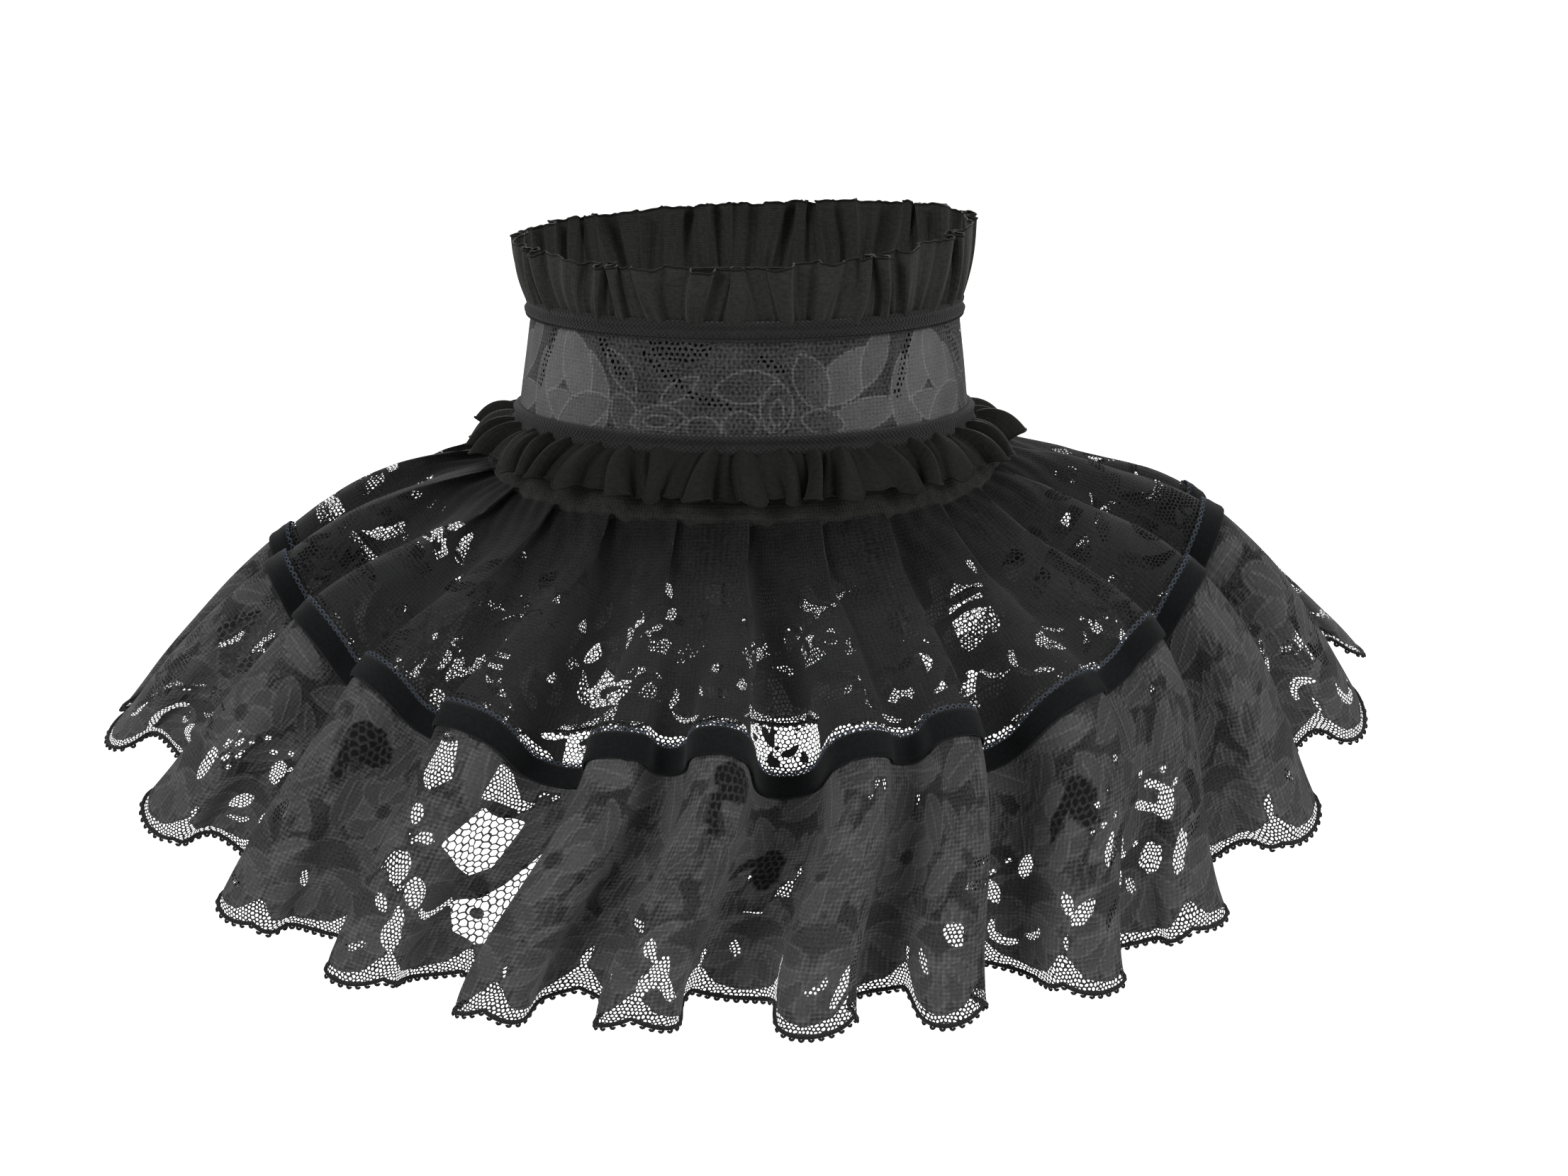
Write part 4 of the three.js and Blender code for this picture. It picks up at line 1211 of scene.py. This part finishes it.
class COLLAR_OT_stage(bpy.types.Operator):
    """Makes the pale floor, the soft light and the camera."""

    bl_idname = "collar.stage"
    bl_label = "Stage"

    def execute(self, context):
        scene = context.scene
        scene.view_settings.view_transform = "Standard"
        scene.cycles.transparent_max_bounces = 16       # a ray may pass several layers of net
        bm = bmesh.new()
        bmesh.ops.create_grid(bm, x_segments=2, y_segments=2, size=FLOOR_SIZE)
        bmesh.ops.translate(bm, verts=bm.verts, vec=(0, 0, FLOOR_HEIGHT))
        mesh = bpy.data.meshes.new("floor")
        bm.to_mesh(mesh)
        bm.free()
        floor = bpy.data.objects.new("floor", mesh)
        scene.collection.objects.link(floor)
        paint = bpy.data.materials.new("White matt paint")
        paint.use_nodes = True
        shader = paint.node_tree.nodes["Principled BSDF"]
        shader.inputs["Base Color"].default_value = linear(FLOOR_COLOUR)
        shader.inputs["Roughness"].default_value = 0.9
        mesh.materials.append(paint)

        world = bpy.data.worlds.new("Studio")
        world.use_nodes = True
        background = world.node_tree.nodes["Background"]
        background.inputs["Color"].default_value = linear("ffffff")
        background.inputs["Strength"].default_value = 1.0
        scene.world = world

        for name, side, rise, strength in LIGHTS:
            lamp = bpy.data.lights.new(name, "SUN")
            lamp.energy, lamp.angle = strength, LIGHT_SOFTNESS
            light = bpy.data.objects.new(name, lamp)
            side, rise = math.radians(side), math.radians(rise)
            towards = Vector((math.sin(side) * math.cos(rise), -math.cos(side) * math.cos(rise),
                              math.sin(rise)))
            light.rotation_euler = (-towards).to_track_quat("-Z", "Y").to_euler()
            scene.collection.objects.link(light)

        azimuth, pitch = (math.radians(x) for x in CAMERA_ANGLES)
        back = Vector((math.sin(azimuth) * math.cos(pitch),
                       -math.cos(azimuth) * math.cos(pitch), math.sin(pitch)))
        right = Vector((math.cos(azimuth), math.sin(azimuth), 0))
        up = back.cross(right)
        lens = bpy.data.cameras.new("Camera")
        lens.angle = CAMERA_VIEW
        camera = bpy.data.objects.new("Camera", lens)
        camera.matrix_world = Matrix((right, up, back)).transposed().to_4x4()
        camera.location = back * CAMERA_AWAY + right * CAMERA_RIGHT - up * CAMERA_DOWN
        scene.collection.objects.link(camera)
        scene.camera = camera
        return {"FINISHED"}


# The neckband's details. A trim's section is shares from its upper edge down, and how far
# each lies out from the lace.
LINING_RADIUS = 61.0        # the lining's length round, for its weave
TRIM_SECTION = (
    (0.0, 0.9), (0.05, 1.5), (0.16, 1.95), (0.3, 1.75), (0.4, 1.3), (0.5, 1.25), (0.6, 1.55),
    (0.75, 1.95), (0.88, 1.8), (0.97, 1.4), (1.0, 0.9), (0.97, -1.2), (0.5, -1.25), (0.03, -1.2),
)
LACE_UNDER_TRIM = 0.8       # how far the lace goes on under each trim
TRIM_PICOTS = 260
TRIM_PICOT_HEIGHT = LACE_TOP + 0.35
TRIM_PICOT_OUT = 1.25


class COLLAR_OT_neckband(bpy.types.Operator):
    """Makes the lining, the neck lace and the two woven trims."""

    bl_idname = "collar.neckband"
    bl_label = "Neckband"

    def execute(self, context):
        colours = context.scene.collar_colours

        def lining_shape(across, down):
            height = mix(LINING_TOP, LINING_BOTTOM, down)
            flat = np.stack([across * 2 * np.pi * LINING_RADIUS, LINING_TOP - height], axis=-1)
            return neck_points(across, height, np.full(across.shape, LINING_OUT)), flat, {}

        mesh = grid_mesh("neck_lining_cloth", 160, 12, lining_shape)
        cotton = woven_material("Cotton lining", colours.lining, 0.8, 0.12, 0.9)
        lining = place_piece("neck_lining_cloth", mesh, cotton, ["neck_lining"])

        def lace_shape(across, down):
            height = mix(LACE_TOP + LACE_UNDER_TRIM, -LACE_UNDER_TRIM, down)
            x, y = (across - 0.5) * 2 * np.pi * NECK_RADIUS, LACE_TOP - height
            ripple = 0.18 * np.sin(x / 5.1 + 0.4 * np.sin(y / 4)) * np.sin(y / 9 + x / 23)
            return neck_points(across, height, ripple), np.stack([x, y], axis=-1), draw_neck_lace(x, y)

        mesh = grid_mesh("neck_lace_cloth", 640, 44, lace_shape)
        net = lace_material("Neck lace of cotton thread", colours.neck_lace, 1.7, None, 0.75, 0.75, 0.3)
        lace = place_piece("neck_lace_cloth", mesh, net, ["neck_lace"])

        tape = woven_material("Woven trim", colours.trim, 1.0, 0.3, 0.8, 0.05, 45.0)
        trims = (("upper_trim", LINING_TOP, LACE_TOP + 0.3), ("lower_trim", 0.2, TRIM_BOTTOM))
        for name, top, bottom in trims:
            section = [(mix(top, bottom, share), out) for share, out in TRIM_SECTION]
            mesh = section_mesh(f"{name}_tape", 240, section, neck_points)
            place_piece(f"{name}_tape", mesh, tape, [name])
        # Tiny loops along the lower edge of the upper trim.
        across = (np.arange(TRIM_PICOTS) + 0.5) / TRIM_PICOTS
        height, out = (np.full(TRIM_PICOTS, x) for x in (TRIM_PICOT_HEIGHT, TRIM_PICOT_OUT))
        centres = neck_points(across, height, out)
        rights = neck_points(across + 0.001, height, out) - centres
        rights /= np.linalg.norm(rights, axis=1, keepdims=True)
        ups = np.tile((0.0, 0.0, 1.0), (TRIM_PICOTS, 1))
        mesh = repeated_mesh("upper_trim_picots", loop_mesh(0.5, 0.45), centres, rights, ups)
        place_piece("upper_trim_picots", mesh, tape)
        return {"FINISHED"}


GATHER_COLUMNS = 30         # columns of a ruffle's grid in each gather
RIM_BEATS = (61, 143)       # two runs of waves, round the collar, that meet in a rolled edge
RIM_WAVE = 0.25


class COLLAR_OT_ruffles(bpy.types.Operator):
    """Makes the two gathered chiffon ruffles and their rolled edges."""

    bl_idname = "collar.ruffles"
    bl_label = "Ruffles"

    def execute(self, context):
        colours = context.scene.collar_colours
        single = woven_material("Silk chiffon", colours.chiffon, 0.7, 0.05, 0.7, 0.04)
        # Painted shade: the same chiffon darkened, for the lower ruffle and both rolled edges.
        shaded_chiffon = woven_material("Silk chiffon in painted shade", colours.chiffon_in_painted_shade, 0.7, 0.05, 0.7)
        ruffles = (
            ("top_ruffle", TOP_RUFFLE, (0.54, 0.018), single, "upper_trim_tape"),
            ("lower_ruffle", LOWER_RUFFLE, (0.63, 0.0145), shaded_chiffon, "lower_trim_tape"),
        )
        for name, size, flat, chiffon, trim in ruffles:
            shape = ruffle_shape(size)
            columns = size["gathers"] * GATHER_COLUMNS
            mesh = grid_mesh(f"{name}_cloth", columns, 14, shape)
            cloth = place_piece(f"{name}_cloth", mesh, chiffon, [name])
            across = np.linspace(0, 1, columns + 1)
            rising = size["edge_height"][0] > size["foot_height"]
            rim, _, _ = shape(across, np.full(across.shape, 0.0 if rising else 1.0))
            first, second = (np.sin(beat * across * 2 * np.pi) for beat in RIM_BEATS)
            rim[:, 2] += RIM_WAVE * first * second
            rolled = thread_mesh(f"{name}_edge", rim, 0.7, 5)
            edge = place_piece(f"{name}_edge", rolled, shaded_chiffon)
        return {"FINISHED"}


YOKE_REACH = 1.15           # the yoke's depth with its seam allowance, as a share of the rest
YOKE_TUCK = 27.0            # how far down the allowance goes, for each share of the depth
YOKE_PUCKERS = 70
YOKE_STITCHES = 150
STITCH_LINE = 0.9           # the share of the yoke's depth at which its seam is stitched
YOKE_LINES = (
    # Share of the depth, width and height of the folded edge, the dip below it and the seam.
    (0.52, 0.035, 0.55), (0.6, 0.04, -0.35), (STITCH_LINE, 0.03, -0.4),
)


class COLLAR_OT_yoke(bpy.types.Operator):
    """Makes the plain yoke and the stitches of the pleat seam."""

    bl_idname = "collar.yoke"
    bl_label = "Yoke"

    def execute(self, context):
        colours = context.scene.collar_colours

        def surface(across, share):
            angle = back_to_back(across)
            sewn = np.minimum(share, 1)
            radius = along(YOKE_DOWNS, [around(r, angle) for r in YOKE_RADII], sewn)
            height = along(YOKE_DOWNS, [around(h, angle, SQUARE_HEIGHT) for h in YOKE_HEIGHTS], sewn)
            turn = 2 * np.pi * YOKE_PUCKERS * across + 2 * np.sin(31 * across)
            pucker = 0.22 * np.sin(turn) * share
            lines = sum(high * np.exp(-((share - at) / wide) ** 2) for at, wide, high in YOKE_LINES)
            tucked = np.maximum(share - 1, 0) * YOKE_TUCK
            return on_ring(radius + pucker + lines - 0.4 * tucked, angle, height - tucked)

        def shape(across, down):
            flat = np.stack([across * 2 * np.pi * 70, down * 18], axis=-1)
            return surface(across, down * YOKE_REACH), flat, {}

        mesh = grid_mesh("yoke_cloth", 420, 44, shape)
        cloth = woven_material("Plain-woven yoke", colours.yoke, 0.9, 0.14, 0.85, 0.05)
        yoke = place_piece("yoke_cloth", mesh, cloth, ["yoke"])
        across = (np.arange(YOKE_STITCHES) + 0.5) / YOKE_STITCHES
        share = np.full(YOKE_STITCHES, STITCH_LINE)
        centres = surface(across, share)
        rights = surface(across + 0.001, share) - surface(across - 0.001, share)
        rights /= np.linalg.norm(rights, axis=1, keepdims=True)
        ups = surface(across, share - 0.02) - surface(across, share + 0.02)
        ups /= np.linalg.norm(ups, axis=1, keepdims=True)
        stitch = loop_mesh(0.85, 0.4, 5, 4)
        stitches = repeated_mesh("pleat_stitches", stitch, centres + 0.1 * np.cross(rights, ups),
                                 rights, -np.cross(rights, ups) * 0.45)
        thread = woven_material("Sewing thread", colours.trim, 0.5, 0.1, 0.6, 0.1)
        seam = place_piece("pleat_stitches", stitches, thread)
        return {"FINISHED"}


# Lengths down at which the pieces' lengths round are measured, and columns in each fold.
UPPER_LINE, RIBBON_LINE, LOWER_LINE = 58, 61, 110
UPPER_COLUMNS, RIBBON_COLUMNS, LOWER_COLUMNS = 46, 40, 56


class COLLAR_OT_upper_tier(bpy.types.Operator):
    """Makes the pleated upper tier of close lace."""

    bl_idname = "collar.upper_tier"
    bl_label = "Upper tier"

    def execute(self, context):
        colours, lace = context.scene.collar_colours, context.scene.collar_lace
        ways, lengths = lengths_round(UPPER_LINE)

        def shape(across, down):
            y = mix(-SEAM_ALLOWANCE, RIBBON_TOP + RIBBON_OVERLAP, down)
            x = np.interp(across, ways, lengths)
            fields = draw_upper_lace(x, y, lace.upper_repeat / MM)
            y = y * (1 + ribbon_sag(across) / RIBBON_TOP)
            return cape_across(across, y), np.stack([x, y], axis=-1), fields

        mesh = grid_mesh("upper_tier_cloth", FOLD_COUNT * UPPER_COLUMNS, 65, shape)
        net = lace_material("Upper lace of cotton thread", colours.upper_lace, lace.fine_pitch / MM,
                            None, 0.15, 0.4, 0.0)
        tier = place_piece("upper_tier_cloth", mesh, net,
                           ["upper_tier_right", "upper_tier_left"])
        return {"FINISHED"}


RIBBON_SECTION = (
    # Length down the cape, and how far out from its cloth.
    (61.2, 0.5), (61.5, 1.1), (62.5, 1.3), (64.6, 1.15), (66.8, 1.3), (67.8, 1.1), (68.1, 0.5),
    (64.6, 0.35),
)
RIBBON_PICOT_ROWS = (
    # Length down, radius of the loops, and the share of a loop's width that the row starts at.
    (61.1, 0.75, 0.25), (61.7, 0.7, 0.75),
)
RIBBON_PICOT_OUT = 0.9


class COLLAR_OT_ribbon(bpy.types.Operator):
    """Makes the tape that joins the two tiers, with small loops along its upper edge."""

    bl_idname = "collar.ribbon"
    bl_label = "Ribbon"

    def execute(self, context):
        colours, lace = context.scene.collar_colours, context.scene.collar_lace
        ways, lengths = lengths_round(RIBBON_LINE)
        columns = FOLD_COUNT * RIBBON_COLUMNS
        mesh = section_mesh("ribbon_tape", columns, RIBBON_SECTION, seam_band, lengths[-1])
        tape = woven_material("Ribbon of cotton velvet", colours.ribbon, 0.4, 0.1, 0.9, 0.04)
        place_piece("ribbon_tape", mesh, tape, ["hem_ribbon"])
        edge = woven_material("Looped ribbon edge", colours.ribbon_edge, 0.9, 0.1, 0.85, 0.05)
        for row, (down, radius, start) in enumerate(RIBBON_PICOT_ROWS, 1):
            count = int(lengths[-1] / (lace.ribbon_picots / MM))
            across = np.interp((np.arange(count) + start) / count * lengths[-1], lengths, ways)
            centres, rights, ups = frames(across, down + ribbon_sag(across), RIBBON_PICOT_OUT)
            mesh = repeated_mesh(f"ribbon_picots_{row}", loop_mesh(radius, 0.5), centres, rights, -ups)
            place_piece(f"ribbon_picots_{row}", mesh, edge)
        return {"FINISHED"}


EDGE_POINTS = 131           # points along each corded edge of the back slit


class COLLAR_OT_lower_tier(bpy.types.Operator):
    """Makes the gathered lower tier, with the cord and loops along its scalloped hem."""

    bl_idname = "collar.lower_tier"
    bl_label = "Lower tier"

    def execute(self, context):
        colours, lace = context.scene.collar_colours, context.scene.collar_lace
        ways, lengths = lengths_round(LOWER_LINE)
        top = RIBBON_BOTTOM - RIBBON_OVERLAP

        def place_of(column):
            return float(np.interp(column / FOLD_COUNT, ways, lengths))

        def shape(across, down):
            x = np.interp(across, ways, lengths)
            y = mix(top + ribbon_sag(across), hem_down(x, lace), down)
            fields = draw_lower_lace(x, y, place_of, lace)
            return cape_across(across, y), np.stack([x, y], axis=-1), fields

        mesh = grid_mesh("lower_tier_cloth", FOLD_COUNT * LOWER_COLUMNS, 68, shape)
        net = lace_material("Lower lace of cotton thread", colours.lower_lace, lace.hem_pitch / MM,
                            lace.net_pitch / MM, 0.75, 0.85, 0.8)
        tier = place_piece("lower_tier_cloth", mesh, net,
                           ["lower_tier_right", "lower_tier_left"])
        across = np.interp(np.arange(0, lengths[-1], 1.0), lengths, ways)
        hem = hem_down(np.interp(across, ways, lengths), lace)
        thread = woven_material("Gimp cord", colours.trim, 0.8, 0.2, 0.85, 0.04)
        cord_mesh = thread_mesh("hem_cord", cape_across(across, hem), lace.hem_cord / MM)
        cord = place_piece("hem_cord", cord_mesh, thread)
        count = int(lengths[-1] / (lace.picot_pitch / MM))
        across = np.interp((np.arange(count) + 0.5) / count * lengths[-1], lengths, ways)
        hem = hem_down(np.interp(across, ways, lengths), lace)
        centres, rights, ups = frames(across, hem, 0.0)
        mesh = repeated_mesh("hem_picots", loop_mesh(0.55, 0.8), centres - 0.5 * ups, rights, ups)
        picots = place_piece("hem_picots", mesh, thread)
        for side in (0, 1):
            down = np.linspace(0.5, hem_down(side * lengths[-1], lace), EDGE_POINTS)
            here, proud = (np.full(EDGE_POINTS, x) for x in (float(side), 0.1))
            path = raised(cape_across, here, down, proud)
            mesh = thread_mesh(f"back_edge_{side + 1}", path, 0.8)
            place_piece(f"back_edge_{side + 1}", mesh, thread)
        return {"FINISHED"}


# The tab's section is heights, and how far each lies out from the lace. The button's profile
# is radii and heights, from the foot of its shank.
TAB_SECTION = (
    (25, 1.0), (24.6, 1.9), (23.8, 2.2), (13, 2.15), (2.2, 2.2), (1.4, 1.9), (1, 1.0), (13, 0.85),
)
BUTTON_PROFILE = (
    (0.0, -1.5), (0.9, -1.5), (0.9, -1.0), (2.6, -1.0), (3.1, -0.7), (3.25, -0.1), (3.15, 0.5),
    (2.85, 0.95), (2.5, 0.98), (2.2, 0.72), (1.7, 0.5), (0.0, 0.42),
)
BUTTON_HOLE, BUTTON_HOLE_AWAY = 0.45, 0.8       # a hole's radius, and its way from the middle


class COLLAR_OT_fastening(bpy.types.Operator):
    """Makes the tab over the back slit and its three buttons."""

    bl_idname = "collar.fastening"
    bl_label = "Fastening"

    def execute(self, context):
        colours = context.scene.collar_colours
        high = Vector(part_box("back_tab")[1]) / MM
        half = math.degrees(math.asin(high.x / NECK_RADIUS)) / 360

        def place(across, height, out):
            return neck_points(1 + (across - 0.5) * 2 * half, height, out)

        mesh = section_mesh("back_tab_cloth", 28, TAB_SECTION, place)
        cloth = woven_material("Tab of woven trim", colours.trim, 0.9, 0.16, 0.85, 0.05)
        place_piece("back_tab_cloth", mesh, cloth, ["back_tab"])
        resin = button_material(colours.button)
        for number in (1, 2, 3):
            node = f"back_button_{number}"
            low, high = (Vector(corner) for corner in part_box(node))
            place_piece(f"{node}_resin", button_mesh(node, (low + high) / 2), resin, [node])
        return {"FINISHED"}


def button_mesh(name, middle):
    """A small turned button with a raised rim, two holes and the short shank it is sewn on by."""
    bm = bmesh.new()
    verts = [bm.verts.new((radius * MM, 0, height * MM)) for radius, height in BUTTON_PROFILE]
    edges = [bm.edges.new(pair) for pair in zip(verts, verts[1:])]
    bmesh.ops.spin(bm, geom=verts + edges, cent=(0, 0, 0), axis=(0, 0, 1), angle=2 * math.pi,
                   steps=32, use_merge=True)
    bmesh.ops.remove_doubles(bm, verts=bm.verts, dist=1e-6)
    bmesh.ops.recalc_face_normals(bm, faces=bm.faces)
    for side in (-1, 1):
        radius = BUTTON_HOLE * MM
        made = bmesh.ops.create_cone(bm, cap_ends=True, segments=10, radius1=radius,
                                     radius2=radius, depth=0.3 * MM)["verts"]
        bmesh.ops.translate(bm, verts=made, vec=(side * BUTTON_HOLE_AWAY * MM, 0, 0.5 * MM))
    slope = math.atan(NECK_TAPER + NECK_LEAN)
    bmesh.ops.rotate(bm, verts=bm.verts, matrix=Matrix.Rotation(slope - math.pi / 2, 3, "X"))
    bmesh.ops.translate(bm, verts=bm.verts, vec=middle)
    mesh = bpy.data.meshes.new(name)
    bm.to_mesh(mesh)
    bm.free()
    mesh.shade_smooth()
    return mesh


class COLLAR_PT_panel(bpy.types.Panel):
    """Lists the collar's pieces and settings."""

    bl_idname = "COLLAR_PT_panel"
    bl_label = "Lace collar"
    bl_space_type = "VIEW_3D"
    bl_region_type = "UI"
    bl_category = "Collar"

    def draw(self, context):
        for operator in OPERATORS:
            self.layout.operator(operator.bl_idname)
        for settings in (context.scene.collar_lace, context.scene.collar_colours):
            box = self.layout.box()
            for name in settings.bl_rna.properties.keys():
                if name not in ("rna_type", "name"):
                    box.prop(settings, name)


OPERATORS = (
    COLLAR_OT_stage, COLLAR_OT_neckband, COLLAR_OT_ruffles, COLLAR_OT_yoke, COLLAR_OT_upper_tier,
    COLLAR_OT_ribbon, COLLAR_OT_lower_tier, COLLAR_OT_fastening,
)
CLASSES = (CollarLace, CollarColours, *OPERATORS, COLLAR_PT_panel)


def register():
    for made in CLASSES:
        bpy.utils.register_class(made)
    bpy.types.Scene.collar_lace = bpy.props.PointerProperty(type=CollarLace)
    bpy.types.Scene.collar_colours = bpy.props.PointerProperty(type=CollarColours)


def unregister():
    del bpy.types.Scene.collar_colours
    del bpy.types.Scene.collar_lace
    for made in reversed(CLASSES):
        bpy.utils.unregister_class(made)


def main():
    register()
    for operator in OPERATORS:
        group, name = operator.bl_idname.split(".")
        getattr(getattr(bpy.ops, group), name)()


if __name__ == "__main__":
    main()
